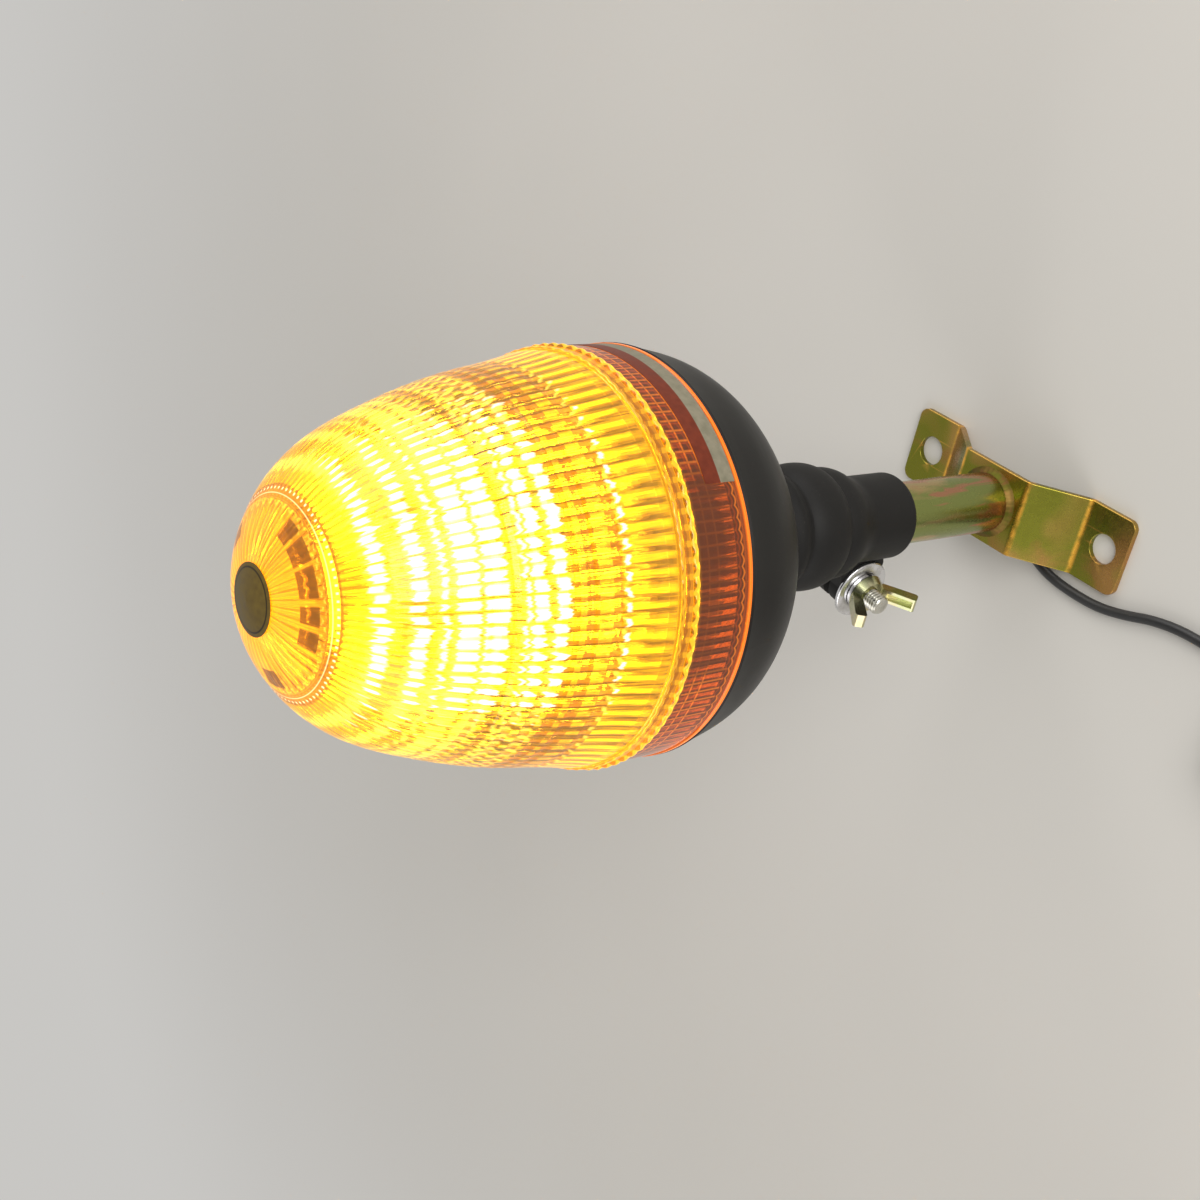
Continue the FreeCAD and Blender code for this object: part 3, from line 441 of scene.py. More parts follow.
pole_low, pole_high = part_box("pole_tube")
pole_outer = pole_high.x
pole_inner = pole_outer - pole_wall
pole_profile = [
    (pole_inner, pole_low.z),
    (pole_outer, pole_low.z),
    (pole_outer, pole_high.z - pole_chamfer),
    (pole_outer - pole_chamfer, pole_high.z),
    (pole_inner + pole_chamfer, pole_high.z),
    (pole_inner, pole_high.z - pole_chamfer),
]
pole_zinc = yellow_zinc(
    "pole_yellow_zinc",
    0.26,
    Patch_Size=0.007,
    Green=1.0,
    Pink=0.9,
    Pale=0.3,
    Wear=0.0,
    Stretch=0.2,
    Edge=0.04,
)
pole = link_mesh("pole", *turned_mesh(pole_profile), pole_zinc, "yellow_zinc", 25.0)
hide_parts("pole_tube")
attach(pole, "mount")


def weld_mesh():
    """A fillet ring whose face swells and sinks in overlapping ripples."""
    columns = weld_ripples * ripple_steps
    base = pole_low.z
    points = []
    for i in range(columns):
        angle = 2 * math.pi * i / columns
        ripple = i % ripple_steps / ripple_steps
        leg = weld_leg * (1 + 0.06 * math.sqrt(ripple) - 0.03 + 0.05 * math.sin(3 * angle))
        section = [(pole_outer - weld_sink, base), (pole_outer + leg, base)]
        for share in (0.25, 0.5, 0.75):
            kept = 1 - 0.16 * math.sin(math.pi * share)
            section.append((pole_outer + leg * (1 - share) * kept, base + leg * share * kept))
        section.append((pole_outer - weld_sink, base + leg))
        points += [(r * math.cos(angle), r * math.sin(angle), z) for r, z in section]
    return points, grid_faces(columns, len(section), closed=True, flip=True)


# The weld is darkened most of the way to near black, as painted shade.
weld_zinc = yellow_zinc("weld_yellow_zinc", 0.5, Patch_Size=0.006, Green=0.9, Pink=0.6, Wear=0.0, Soot=0.6)
weld = link_mesh("weld_fillet", *weld_mesh(), weld_zinc, "yellow_zinc", 40.0)
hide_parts("weld_bead")
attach(weld, "mount")

# ---------------------------------------------------------------- cable and its grommet
# Two-core flexible cable in a round black sheath. It drops out of a rubber grommet under the
# crown, lies on the surface round the bracket's foot, and what isn't needed yet is wound in a
# neat coil, held by a nylon tie. Its end is stripped to two cores with tinned strands.
cord_diameter = 4.0 * MM
cord_route = [
    (0.0, 0.0, 0.0153),
    (0.0, 0.0, 0.0106),
    (0.0019, -0.0022, 0.0056),
    (0.0053, -0.0063, 0.0026),
    (0.0100, -0.0119, 0.00202),
    (0.0175, -0.0176, 0.00202),
    (0.0275, -0.0214, 0.00202),
    (0.0405, -0.0226, 0.00202),
    (0.0540, -0.0222, 0.00202),
    (0.0660, -0.0192, 0.00202),
    (0.0780, -0.0149, 0.00202),
    (0.0905, -0.0127, 0.00202),
    (0.1045, -0.0126, 0.00202),
    (0.1190, -0.0135, 0.00202),
    (0.1330, -0.0140, 0.00202),
]
cord_tail = [
    (0.0139, 0.0239, 0.00604),
    (0.0193, 0.0216, 0.0056),
    (0.0245, 0.0180, 0.0038),
    (0.0283, 0.0124, 0.0023),
    (0.0305, 0.0055, 0.00202),
    (0.0310, -0.0030, 0.00202),
    (0.0285, -0.0125, 0.00202),
]
coil_points_per_turn = 16
coil_turns = [
    # degrees wound, radius in millimetres, height in millimetres
    (0, 26.0, 2.02),
    (300, 26.0, 2.02),
    (360, 22.0, 2.02),
    (660, 22.0, 2.02),
    (720, 18.0, 2.02),
    (930, 18.0, 2.02),
    (1020, 18.0, 6.04),
    (1230, 18.0, 6.04),
    (1290, 22.0, 6.04),
    (1530, 22.0, 6.04),
    (1590, 26.0, 6.04),
    (2160, 26.0, 6.04),
]


def moulded_skin_group():
    """Colour, roughness and relief of moulded plastic or rubber: grain, slow flow marks and dust."""
    group, given, out = effect_group(
        "moulded_skin",
        {
            "Base": (0.02, 0.02, 0.02),
            "Bloom": (0.04, 0.04, 0.04),
            "Gloss Loss": 0.5,
            "Grain Size": 0.0008,
            "Dust": 0.2,
        },
        ("Color", "Roughness", "Height"),
    )
    spot = own_place(group)
    grain = noise(group, spot, calc(group, "DIVIDE", 1.0, given["Grain Size"]), 3.0)
    flow = noise(group, spot, 45.0, 4.0, 0.6)
    specks = node(group, "TexVoronoi", Vector=spot, Scale=700.0).outputs["Distance"]
    settled = calc(group, "MULTIPLY", fade(group, specks, 0.16, 0.06), fade(group, flow, 0.48, 0.66))
    dust = calc(group, "MULTIPLY", settled, given["Dust"])
    bloom = blend_colour(group, flow, given["Base"], given["Bloom"])
    group.links.new(blend_colour(group, dust, bloom, (0.42, 0.38, 0.32)), out["Color"])
    uneven = calc(group, "MULTIPLY_ADD", flow, 0.18, calc(group, "SUBTRACT", given["Gloss Loss"], 0.09))
    group.links.new(calc(group, "MULTIPLY_ADD", dust, 0.3, uneven), out["Roughness"])
    group.links.new(calc(group, "ADD", grain, dust), out["Height"])
    return group


moulded_skin = moulded_skin_group()


def moulded(name, base, bloom, gloss_loss, grain=0.0008, dust=0.2, relief=0.03 * MM, **sockets):
    """A moulded plastic, rubber or lacquer finish."""
    material, tree, shader = finish(name, **sockets)
    effect = place_group(
        tree, moulded_skin, Base=base, Bloom=bloom, Gloss_Loss=gloss_loss, Grain_Size=grain, Dust=dust
    )
    feed(tree, shader, effect, relief)
    return material


def coil_route():
    """The cord's turns in its coil, clockwise seen from above, from the entry to the outer upper turn."""
    low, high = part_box("cord_coil")
    center = (low + high) / 2
    # the curve runs a little inside its points, so they lie that much further out
    outward = 1 / math.cos(math.pi / coil_points_per_turn) ** 0.75
    marks, radii, heights = zip(*coil_turns)
    count = marks[-1] * coil_points_per_turn // 360
    points = []
    for i in range(count + 1):
        wound = marks[-1] * i / count
        radius = float(np.interp(wound, marks, radii)) * MM * outward
        height = float(np.interp(wound, marks, heights)) * MM
        angle = math.radians(90 - wound)
        points.append((center.x + radius * math.cos(angle), center.y + radius * math.sin(angle), height))
    return points + [(center.x + x, center.y + y, z) for x, y, z in cord_tail]


def dress(name, material):
    """Gives a CAD node its finish."""
    for material_slot in frame["nodes"][name].material_slots:
        material_slot.material = material


cable_rubber = moulded("cable_sheath", (0.013, 0.013, 0.014), (0.03, 0.03, 0.031), 0.42, 0.0005, 0.15)
route = cord_route + coil_route()
cord_line = bpy.data.curves.new("supply_cable", "CURVE")
cord_line.dimensions = "3D"
cord_line.bevel_depth = cord_diameter / 2
cord_line.bevel_resolution = 6
cord_line.use_fill_caps = True
cord_spline = cord_line.splines.new("NURBS")
cord_spline.points.add(len(route) - 1)
for point, place in zip(cord_spline.points, route):
    point.co = (*place, 1)
cord_spline.order_u = 3
cord_spline.use_endpoint_u = True
cord_spline.resolution_u = 6
cord_line.materials.append(cable_rubber)
cable = bpy.data.objects.new("supply_cable", cord_line)
bpy.context.scene.collection.objects.link(cable)
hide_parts("supply_cord", "cord_coil", "cord_tail")
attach(cable, "mount")
dress("pole_lead", cable_rubber)
dress("cable_grommet", moulded("grommet_rubber", (0.016, 0.016, 0.016), (0.035, 0.034, 0.033), 0.6, 0.0006))
dress("coil_tie", moulded("tie_nylon", (0.03, 0.03, 0.03), (0.05, 0.05, 0.05), 0.35, 0.0012))
dress("core_wires", moulded("core_insulation", (0.45, 0.02, 0.015), (0.55, 0.04, 0.03), 0.38, 0.0006))


def worked_metal_group():
    """Colour, roughness and relief of bare or plated metal: turning lines, fine scratches and dull spots."""
    group, given, out = effect_group(
        "worked_metal",
        {"Bright": (0.8, 0.8, 0.8), "Dull": (0.5, 0.5, 0.5), "Base Roughness": 0.25, "Line Pitch": 0.0004},
        ("Color", "Roughness", "Height"),
    )
    spot = own_place(group)
    lines = noise(group, spot, calc(group, "DIVIDE", 1.0, given["Line Pitch"]))
    dulled = fade(group, noise(group, spot, 220.0, 5.0), 0.45, 0.7)
    group.links.new(blend_colour(group, dulled, given["Bright"], given["Dull"]), out["Color"])
    rough = calc(group, "MULTIPLY_ADD", dulled, 0.15, given["Base Roughness"])
    group.links.new(calc(group, "MULTIPLY_ADD", lines, 0.1, rough), out["Roughness"])
    group.links.new(lines, out["Height"])
    return group


worked_metal = worked_metal_group()


def metal(name, bright, dull, roughness, pitch=0.0004):
    """A bare or plated metal finish."""
    material, tree, shader = finish(name, Metallic=1.0)
    effect = place_group(
        tree,
        worked_metal,
        Bright=bright,
        Dull=dull,
        Base_Roughness=roughness,
        Line_Pitch=pitch,
    )
    feed(tree, shader, effect, 0.015 * MM)
    return material


dress("core_ends", metal("tinned_strands", (0.8, 0.79, 0.76), (0.55, 0.54, 0.5), 0.35, 0.0003))

# ---------------------------------------------------------------- sprung centre contact
# A nylon plug pressed in the pole's top carries a brass plunger on a steel spring. When the
# lamp is pushed on the pole the plunger is pressed down 3 mm and feeds the positive pole.
spring_wire = 0.8 * MM
spring_mean = 8.0 * MM
spring_turns = 5
spring_closed_share = 0.12


def coiled_wire(low, high, radius, wire, turns):
    """Points and faces of a round wire wound between two heights, with closed ends."""
    steps, sides = turns * 24, 8
    points = []
    for i in range(steps + 1):
        share = i / steps
        angle = 2 * math.pi * turns * share
        ramp = max(0.0, min(1.0, (share - spring_closed_share) / (1 - 2 * spring_closed_share)))
        seated = wire / 2 * (1 + min(1, share / spring_closed_share))
        center_z = low + seated + (high - low - 2 * wire) * ramp
        for k in range(sides):
            tilt = 2 * math.pi * k / sides
            r = radius + wire / 2 * math.cos(tilt)
            points.append((r * math.cos(angle), r * math.sin(angle), center_z + wire / 2 * math.sin(tilt)))
    faces = grid_faces(steps + 1, sides, flip=True)
    faces.append(tuple(range(sides)))
    faces.append(tuple(steps * sides + k for k in reversed(range(sides))))
    return points, faces


nylon = moulded("natural_nylon", (0.62, 0.58, 0.48), (0.70, 0.67, 0.58), 0.38, 0.0012, 0.1)
brass = metal("contact_brass", (0.80, 0.60, 0.26), (0.62, 0.42, 0.16), 0.22, 0.0003)
spring_steel = metal("spring_steel", (0.62, 0.62, 0.64), (0.36, 0.36, 0.38), 0.28)
spring_low, spring_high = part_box("contact_spring")
spring = link_mesh(
    "plunger_spring",
    *coiled_wire(spring_low.z, spring_high.z, spring_mean / 2, spring_wire, spring_turns),
    spring_steel,
    "spring_steel",
    80.0,
)
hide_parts("contact_spring")
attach(spring, "mount")
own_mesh(spring)
dress("contact_insulator", nylon)
dress("contact_plunger", brass)

# ---------------------------------------------------------------- clamp sleeve and its contacts
# A black glass-filled nylon sleeve that slides on the pole, split on the lug side. It carries
# the second contact, a brass leaf in its bore, and the plate that meets the plunger.
sleeve_black = moulded(
    "sleeve_black",
    (0.006, 0.006, 0.006),
    (0.013, 0.012, 0.011),
    0.58,
    grain=0.0007,
    dust=0.12,
    relief=0.03 * MM,
    Specular_IOR_Level=0.25,
)
dress("clamp_sleeve", sleeve_black)
dress("earth_strip", brass)
dress("contact_carrier", nylon)
dress("contact_plate", brass)

# ---------------------------------------------------------------- clamp bolt
# An M8 hexagon bolt, bright zinc plated. Its head sits in the lug's pocket so that it can't
# turn, and its rolled thread stands out of the wing nut.
bolt_joint = next(joint for joint in frame["joints"] if joint["name"] == "wing_nut_turn")
bolt_along = Vector(bolt_joint["axis"]).normalized()
bolt_spot = Vector(bolt_joint["pos_m"])
bolt_flats = 13.0 * MM
bolt_head = 5.3 * MM
bolt_head_rows = [
    # depth from the crown in millimetres, most radius as a share of the flats
    (0.0, 0.46),
    (0.3, 0.485),
    (0.9, 0.54),
    (1.6, 0.62),
    (4.9, 0.62),
    (5.3, 0.56),
]
bolt_major = 3.965 * MM
bolt_thread_depth = 0.68 * MM
bolt_pitch = 1.25 * MM
bolt_seat = -5.0 * MM
bolt_thread_start = 4.0 * MM
bolt_tip = 21.1 * MM


def on_bolt_axis(points):
    """Puts points made about +X, with Z up, on the clamp bolt's axis."""
    across = Vector((0, 0, 1)).cross(bolt_along)
    place = Matrix((bolt_along, across, Vector((0, 0, 1)))).transposed()
    return [bolt_spot + place @ Vector(p) for p in points]


def swept_rows(rows):
    """Points and faces of rings about +X, from (place, list of radii) rows, closed at both ends."""
    columns = len(rows[0][1])
    points = []
    for place, radii in rows:
        for i, radius in enumerate(radii):
            angle = 2 * math.pi * i / columns
            points.append((place, radius * math.cos(angle), radius * math.sin(angle)))
    faces = grid_faces(len(rows), columns)
    faces.append(tuple(reversed(range(columns))))
    faces.append(tuple((len(rows) - 1) * columns + i for i in range(columns)))
    return points, faces


def bolt_mesh():
    """Hexagon head with a chamfered crown, plain shank, then the rolled thread with a bevelled tip."""
    columns = 60
    turns = [2 * math.pi * i / columns for i in range(columns)]
    hexagon = [bolt_flats / 2 / math.cos((a % (math.pi / 3)) - math.pi / 6) for a in turns]
    rows = []
    for depth, cone in bolt_head_rows:
        rows.append((bolt_seat - bolt_head + depth * MM, [min(r, bolt_flats * cone) for r in hexagon]))
    rows.append((bolt_seat, [bolt_major] * columns))
    rows.append((bolt_thread_start, [bolt_major] * columns))
    step = bolt_pitch / 10
    count = int((bolt_tip - bolt_thread_start) / step)
    for k in range(1, count + 1):
        place = bolt_thread_start + k * step
        limit = min(1.0, k / 10)
        taper = max(0.0, place - (bolt_tip - 1.0 * MM))
        radii = []
        for angle in turns:
            phase = abs(((place / bolt_pitch - angle / (2 * math.pi)) % 1.0) * 2 - 1)
            cut = bolt_thread_depth * limit * min(1.0, max(0.0, phase * 1.25 - 0.125))
            radii.append(min(bolt_major - cut, bolt_major - taper * 0.75))
        rows.append((place, radii))
    rows.append((bolt_tip, [bolt_major * 0.5] * columns))
    return swept_rows(rows)


bolt_points, bolt_faces = bolt_mesh()
rolled_zinc = metal("rolled_zinc", (0.64, 0.63, 0.57), (0.46, 0.44, 0.38), 0.2, 0.0005)
# The thread's roots are painted near black, as painted shade in its grooves.
shaded_root = node(rolled_zinc.node_tree, "NewGeometry").outputs["Pointiness"]
overlay(rolled_zinc, fade(rolled_zinc.node_tree, shaded_root, 0.49, 0.40), (0.05, 0.045, 0.035))
bolt = link_mesh("clamp_screw", on_bolt_axis(bolt_points), bolt_faces, rolled_zinc, "bright_zinc", 30.0)
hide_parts("clamp_bolt")
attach(bolt, "clamp")

# ---------------------------------------------------------------- washers
# A large pressed washer with rolled-over edges and a sprung split washer under the wing nut,
# both bright zinc plated.
washer_thickness = 1.6 * MM
washer_radius = 12.0 * MM
washer_bore = 4.2 * MM
washer_start = 8.0 * MM
washer_back_round = 0.25 * MM
washer_face_round = 0.6 * MM
washer_bore_round = 0.4 * MM
spring_washer_radius = 7.4 * MM
spring_washer_section = 1.6 * MM
spring_washer_lift = 0.4 * MM


def washer_mesh():
    """A stamped ring: its outer edge is rolled over in front and sharper behind."""
    roll = washer_face_round
    profile = [
        (washer_bore, 0.0),
        (washer_radius - washer_back_round, 0.0),
        (washer_radius, washer_back_round),
        (washer_radius, washer_thickness - roll),
        (washer_radius - 0.3 * roll, washer_thickness - roll / 3),
        (washer_radius - roll, washer_thickness),
        (washer_bore + washer_bore_round, washer_thickness),
        (washer_bore, washer_thickness - washer_bore_round),
    ]
    points, faces = turned_mesh(profile, 72)
    return [(washer_start + z, x, y) for x, y, z in points], faces


bright_zinc = metal("bright_zinc", (0.78, 0.78, 0.80), (0.52, 0.51, 0.50), 0.18, 0.0005)
washer_points, washer_faces = washer_mesh()
washer_points = on_bolt_axis(washer_points)
flat_washer = link_mesh("large_washer", washer_points, washer_faces, bright_zinc, "bright_zinc", 50.0)
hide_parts("flat_washer")
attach(flat_washer, "washers")


def split_washer_mesh():
    """A square-section ring cut across and sprung apart by a little lead."""
    steps = 66
    inner, outer = washer_bore, spring_washer_radius
    low = washer_start + washer_thickness
    points = []
    for i in range(steps + 1):
        angle = math.radians(8) + math.radians(344) * i / steps
        lift = low + spring_washer_lift * i / steps
        for radius, rise in ((inner, 0.0), (outer, 0.1), (outer, 0.9), (inner, 1.0)):
            place = lift + spring_washer_section * rise
            points.append((place, radius * math.cos(angle), radius * math.sin(angle)))
    faces = grid_faces(steps + 1, 4, flip=True)
    faces.append((0, 1, 2, 3))
    faces.append((steps * 4 + 3, steps * 4 + 2, steps * 4 + 1, steps * 4))
    return points, faces


split_points, split_faces = split_washer_mesh()
split_points = on_bolt_axis(split_points)
split_washer = link_mesh("split_washer", split_points, split_faces, bright_zinc, "bright_zinc", 40.0)
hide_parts("spring_washer")
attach(split_washer, "washers")

# ---------------------------------------------------------------- wing nut
# Pressed and drawn from sheet steel, yellow passivated like the bracket, with two ears to turn
# it by hand.
nut_zinc = yellow_zinc("nut_yellow_zinc", 0.24, Patch_Size=0.009, Green=0.5, Pink=0.2, Pale=1.0, Wear=0.0)
dress("wing_nut", nut_zinc)

# ---------------------------------------------------------------- flexible neck
# A black rubber bellows between the sleeve and the bowl, moulded with two soft rolls. It lets
# the head lean away when it hits a branch and brings it back upright.
neck_radius = 21.0 * MM
neck_swell = 2.6 * MM
neck_rolls = 2
neck_bore = 9.0 * MM
neck_flange = 20.0 * MM
neck_flange_thickness = 3.0 * MM
neck_waist = 12.0 * MM
neck_mouth = 15.0 * MM
neck_mouth_groove = 15.8 * MM


def neck_profile():
    """Outside, flange and bore of the neck as (radius, height) points, from the sleeve up and back down."""
    low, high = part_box("flex_neck")
    dish_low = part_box("base_dish")[0].z
    outside = []
    steps = 32
    for i in range(steps + 1):
        wave = (1 - math.cos(2 * math.pi * neck_rolls * i / steps)) / 2
        outside.append((neck_radius + neck_swell * wave, low.z + (dish_low - low.z) * i / steps))
    inside = [
        (neck_waist, dish_low),
        (neck_waist, high.z - neck_flange_thickness),
        (neck_flange, high.z - neck_flange_thickness),
        (neck_flange, high.z),
        (neck_bore, high.z),
        (neck_bore, low.z + 14.0 * MM),
        (neck_mouth_groove, low.z + 8.0 * MM),
        (neck_mouth_groove, low.z + 5.5 * MM),
        (neck_mouth, low.z + 5.5 * MM),
        (neck_mouth, low.z),
    ]
    return outside + inside


neck_rubber = moulded(
    "neck_rubber",
    (0.006, 0.006, 0.006),
    (0.014, 0.013, 0.012),
    0.62,
    grain=0.0006,
    dust=0.15,
    relief=0.03 * MM,
    Specular_IOR_Level=0.22,
)
neck = link_mesh("rubber_neck", *turned_mesh(neck_profile(), 128), neck_rubber, "black_rubber", 40.0)
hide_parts("flex_neck")
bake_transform(neck)


def wire_mesh(low, high, radius, offsets):
    """Straight insulated wires, cut into short lengths along their run."""
    points, faces = [], []
    steps, sides = 24, 12
    for offset in offsets:
        first = len(points)
        for i in range(steps + 1):
            for k in range(sides):
                angle = 2 * math.pi * k / sides
                height = low + (high - low) * i / steps
                points.append((offset + radius * math.cos(angle), radius * math.sin(angle), height))
        faces += grid_faces(steps + 1, sides, first)
        faces.append(tuple(first + k for k in reversed(range(sides))))
        faces.append(tuple(first + steps * sides + k for k in range(sides)))
    return points, faces


wire_low, wire_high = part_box("neck_wires")
wire_radius = (wire_high.y - wire_low.y) / 2
wire_spread = wire_high.x - wire_radius
wire_red = moulded("wire_insulation", (0.40, 0.03, 0.02), (0.50, 0.05, 0.03), 0.4, 0.0006)
neck_wires = link_mesh(
    "neck_leads",
    *wire_mesh(wire_low.z, wire_high.z, wire_radius, (-wire_spread, wire_spread)),
    wire_red,
    "wire_insulation",
    80.0,
)
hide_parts("neck_wires")
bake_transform(neck_wires)
dress("tower_wires", wire_red)

# ---------------------------------------------------------------- bowl and what is fixed in it
# A smooth black ABS bowl with moulded posts inside. A steel ring and four screws grip the
# neck's flange, and a rubber gasket lies in the rim's groove under the lens.
bowl_black = moulded(
    "bowl_black",
    (0.005, 0.005, 0.004),
    (0.010, 0.009, 0.008),
    0.42,
    grain=0.0015,
    dust=0.06,
    relief=0.012 * MM,
    Specular_IOR_Level=0.25,
)
steel = metal("plated_steel", (0.66, 0.66, 0.67), (0.45, 0.45, 0.45), 0.3)
dress("base_dish", bowl_black)
dress("neck_clamp_ring", steel)
dress("neck_screws", steel)
dress("lens_gasket", moulded("gasket_rubber", (0.02, 0.02, 0.02), (0.04, 0.04, 0.04), 0.7, 0.0008))

# ---------------------------------------------------------------- chassis
# The black moulded deck with the bayonet collar that the lens twists on to, screwed on the bowl's
# posts. It carries the light tower above and closes the bowl over the driver board.
dress("chassis", moulded("chassis_black", (0.010, 0.008, 0.006), (0.020, 0.016, 0.012), 0.5, 0.001, 0.1))
dress("chassis_screws", steel)
dress("board_screws", steel)
dress("tower_screws", steel)

# ---------------------------------------------------------------- driver board
# A round glass-epoxy board in green lacquer with a coil, capacitors and drivers soldered on it,
# screwed on posts in the bowl. It makes the steady current for the LEDs and their flash pattern.
green_lacquer = moulded("driver_board_lacquer", (0.02, 0.10, 0.05), (0.03, 0.15, 0.08), 0.3, 0.002, 0.1)
dress("driver_board", green_lacquer)
dress("driver_parts", moulded("component_black", (0.02, 0.02, 0.02), (0.05, 0.05, 0.05), 0.45, 0.0006))

# ---------------------------------------------------------------- light tower
# An eight-sided aluminium column with a white strip board on each flat, eight LEDs a board, and
# a round board with seven more on top. They are lit, so the column and its boards glow.
led_strength = 60.0
board_strength = 1.3


def lit(name, colour, glow, strength, roughness):
    """A surface that the LEDs light up or that shines itself, mottled and not sampled as a lamp."""
    material, tree, shader = finish(name, Emission_Strength=strength)
    material.cycles.emission_sampling = "NONE"
    effect = place_group(tree, moulded_skin, Base=colour, Bloom=colour, Gloss_Loss=roughness, Dust=0.0)
    feed(tree, shader, effect, 0.01 * MM)
    dim = tuple(c * 0.75 for c in glow)
    shine = colour_ramp(tree, noise(tree, own_place(tree), 120.0), (0.35, dim), (0.65, glow))
    tree.links.new(shine, shader.inputs["Emission Color"])
    return material


led_lit = lit("led_phosphor", (0.9, 0.75, 0.3), (1.0, 0.82, 0.42), led_strength, 0.4)
board_lit = lit("white_board", (0.8, 0.78, 0.7), (1.0, 0.68, 0.22), board_strength, 0.4)
column_lit = lit("anodised_aluminium", (0.5, 0.5, 0.5), (1.0, 0.6, 0.15), board_strength * 0.5, 0.35)
dress("led_heatsink", column_lit)
dress("led_side_boards", board_lit)
dress("led_side_chips", led_lit)
dress("led_top_board", board_lit)
dress("led_top_chips", led_lit)
dress("tower_cap_ring", lit("cap_ring_white", (0.8, 0.78, 0.7), (1.0, 0.66, 0.2), board_strength * 0.7, 0.4))

# ---------------------------------------------------------------- lens
# Injection-moulded amber polycarbonate, smooth outside with a rim, two beads and seven grooves.
# Inside, 88 upright flutes on the dome, 116 ribs on the band and a shallow fluted cap with bare
# pads break the LEDs up into rows of dashes. Its sizes are in millimetres, from the rim up.
# The light that shows through the lens, its flare rows, dashes and dark band, is painted into its tint and
# emission.
lens_low, lens_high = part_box("lens")
lens_wall = 2.9
rim_radius = 69.3
band_radius = 68.9
band_top = 21.2
bead_rows = [
    # radius, foot, top and swell
    (band_radius, 21.3, 23.5, 0.9),
    (band_radius - 0.4, 26.1, 27.9, 0.5),
]
waist_radius, waist_height = 67.95, 28.4
dome_points = [
    (67.9, 30.3),
    (65.8, 40.0),
    (62.8, 58.0),
    (54.9, 86.0),
    (45.1, 108.0),
    (31.0, 123.0),
    (16.2, 131.0),
    (0.0, 134.5),
]
dome_ring_pitch = 1.6
tip_start = 120.0
groove_depth = 0.28
groove_half = 1.8
groove_heights = [47.6, 56.5, 62.5, 68.2, 74.0, 79.8, 85.4]
band_ribs = 116
rib_depth = 0.9
ribbed_middle, ribbed_half = 12.6, 7.6
rib_crossings = [17.2, 13.4]
foot_line_height = 4.0
rope_height, loop_height, fine_rope_height = 22.4, 25.0, 27.2
dome_flutes = 88
flute_depth = 1.1
cap_flutes = 44
cap_flute_depth = 0.85
cap_flute_end, cap_flute_fade = 9.0, 4.0
cap_points = [(27.6, 123.1), (24.6, 124.2), (14.0, 129.0), (0.0, 131.4)]
dot_ring_height = 122.7
pad_inner, pad_outer, pad_depth = 21.5, 27.0, 1.1
pad_turns = [(-9, 4), (9, 21), (27, 47), (51, 67), (72, 84), (150, 166), (205, 221), (280, 300)]
leak_turns = [(-36, -9), (53, 104), (140, 176), (222, 262)]
led_strips = 8
flare_rows = [
    # height and half the width of each row of light
    (113.9, 1.1),
    (104.8, 1.3),
    (98.5, 0.2),
    (92.3, 2.4),
    (84.8, 2.6),
    (76.4, 0.1),
    (72.7, 1.3),
    (66.0, 1.4),
    (44.8, 0.2),
]


def smooth_run(points, count):
    """Evenly spaced points on a natural cubic spline through (radius, height) points."""
    knots = np.array(points)
    along = np.concatenate([[0.0], np.cumsum(np.hypot(*np.diff(knots, axis=0).T))])
    gaps = np.diff(along)
    size = len(points)
    system = np.eye(size)
    right = np.zeros((size, 2))
    for i in range(1, size - 1):
        system[i, i - 1 : i + 2] = gaps[i - 1], 2 * (gaps[i - 1] + gaps[i]), gaps[i]
        right[i] = 6 * ((knots[i + 1] - knots[i]) / gaps[i] - (knots[i] - knots[i - 1]) / gaps[i - 1])
    bend = np.linalg.solve(system, right)
    places = np.linspace(0, along[-1], count)
    span = np.clip(np.searchsorted(along, places, side="right") - 1, 0, size - 2)
    gap = gaps[span][:, None]
    high = (places - along[span])[:, None] / gap
    low = 1 - high
    curve = low * knots[span] + high * knots[span + 1]
    return curve + ((low**3 - low) * bend[span] + (high**3 - high) * bend[span + 1]) * gap**2 / 6


dome_run = smooth_run(dome_points, 400)
dome_slope = np.gradient(dome_run, axis=0)
dome_normal = np.stack([dome_slope[:, 1], -dome_slope[:, 0]], 1) / np.hypot(*dome_slope.T)[:, None]


def dome_at(height, depth):
    """(radius, height) at a depth under the dome, square to its surface at a height."""
    surface = [np.interp(height, dome_run[:, 1], dome_run[:, k]) for k in range(2)]
    outward = [np.interp(height, dome_run[:, 1], dome_normal[:, k]) for k in range(2)]
    return surface[0] - depth * outward[0], surface[1] - depth * outward[1]


def outer_rings():
    """Rings of the outside, from the rim up: (columns, function of angle giving radius and height)."""
    columns = dome_flutes * 6
    plain = [(rim_radius - 0.15, 0.0), (rim_radius, 0.15), (rim_radius, 1.2), (rim_radius - 0.2, 1.4)]
    plain += [(band_radius, height) for height in (1.55, 6.0, 13.0, band_top)]
    rings = [(columns, lambda angle, place=place: place) for place in plain]

    def bead(base, height, puff):
        """One ring of a bead, scalloped by the flutes behind it."""
        return columns, lambda angle: (base + puff * (1 + 0.22 * math.cos(dome_flutes * angle)), height)

    for base, low, high, swell in bead_rows:
        for i in range(9):
            arc = math.pi * i / 8
            rings.append(bead(base, low + (high - low) * (1 - math.cos(arc)) / 2, swell * math.sin(arc)))
    rings.append((columns, lambda angle: (waist_radius, waist_height)))
    heights = list(np.arange(dome_points[0][1], tip_start, dome_ring_pitch))
    heights += list(np.linspace(tip_start, dome_points[-1][1] - 0.2, 22))
    for middle in groove_heights:
        heights = [h for h in heights if abs(h - middle) > groove_half + 0.4]
        heights += [middle + groove_half * s for s in (-1.15, -1.0, -0.5, 0.0, 0.5, 1.0, 1.15)]
    for height in sorted(heights):
        nearest = min(abs(height - middle) for middle in groove_heights)
        place = dome_at(height, groove_depth * max(0.0, 1 - nearest / groove_half))
        rings.append((columns, lambda angle, place=place: place))
    return rings


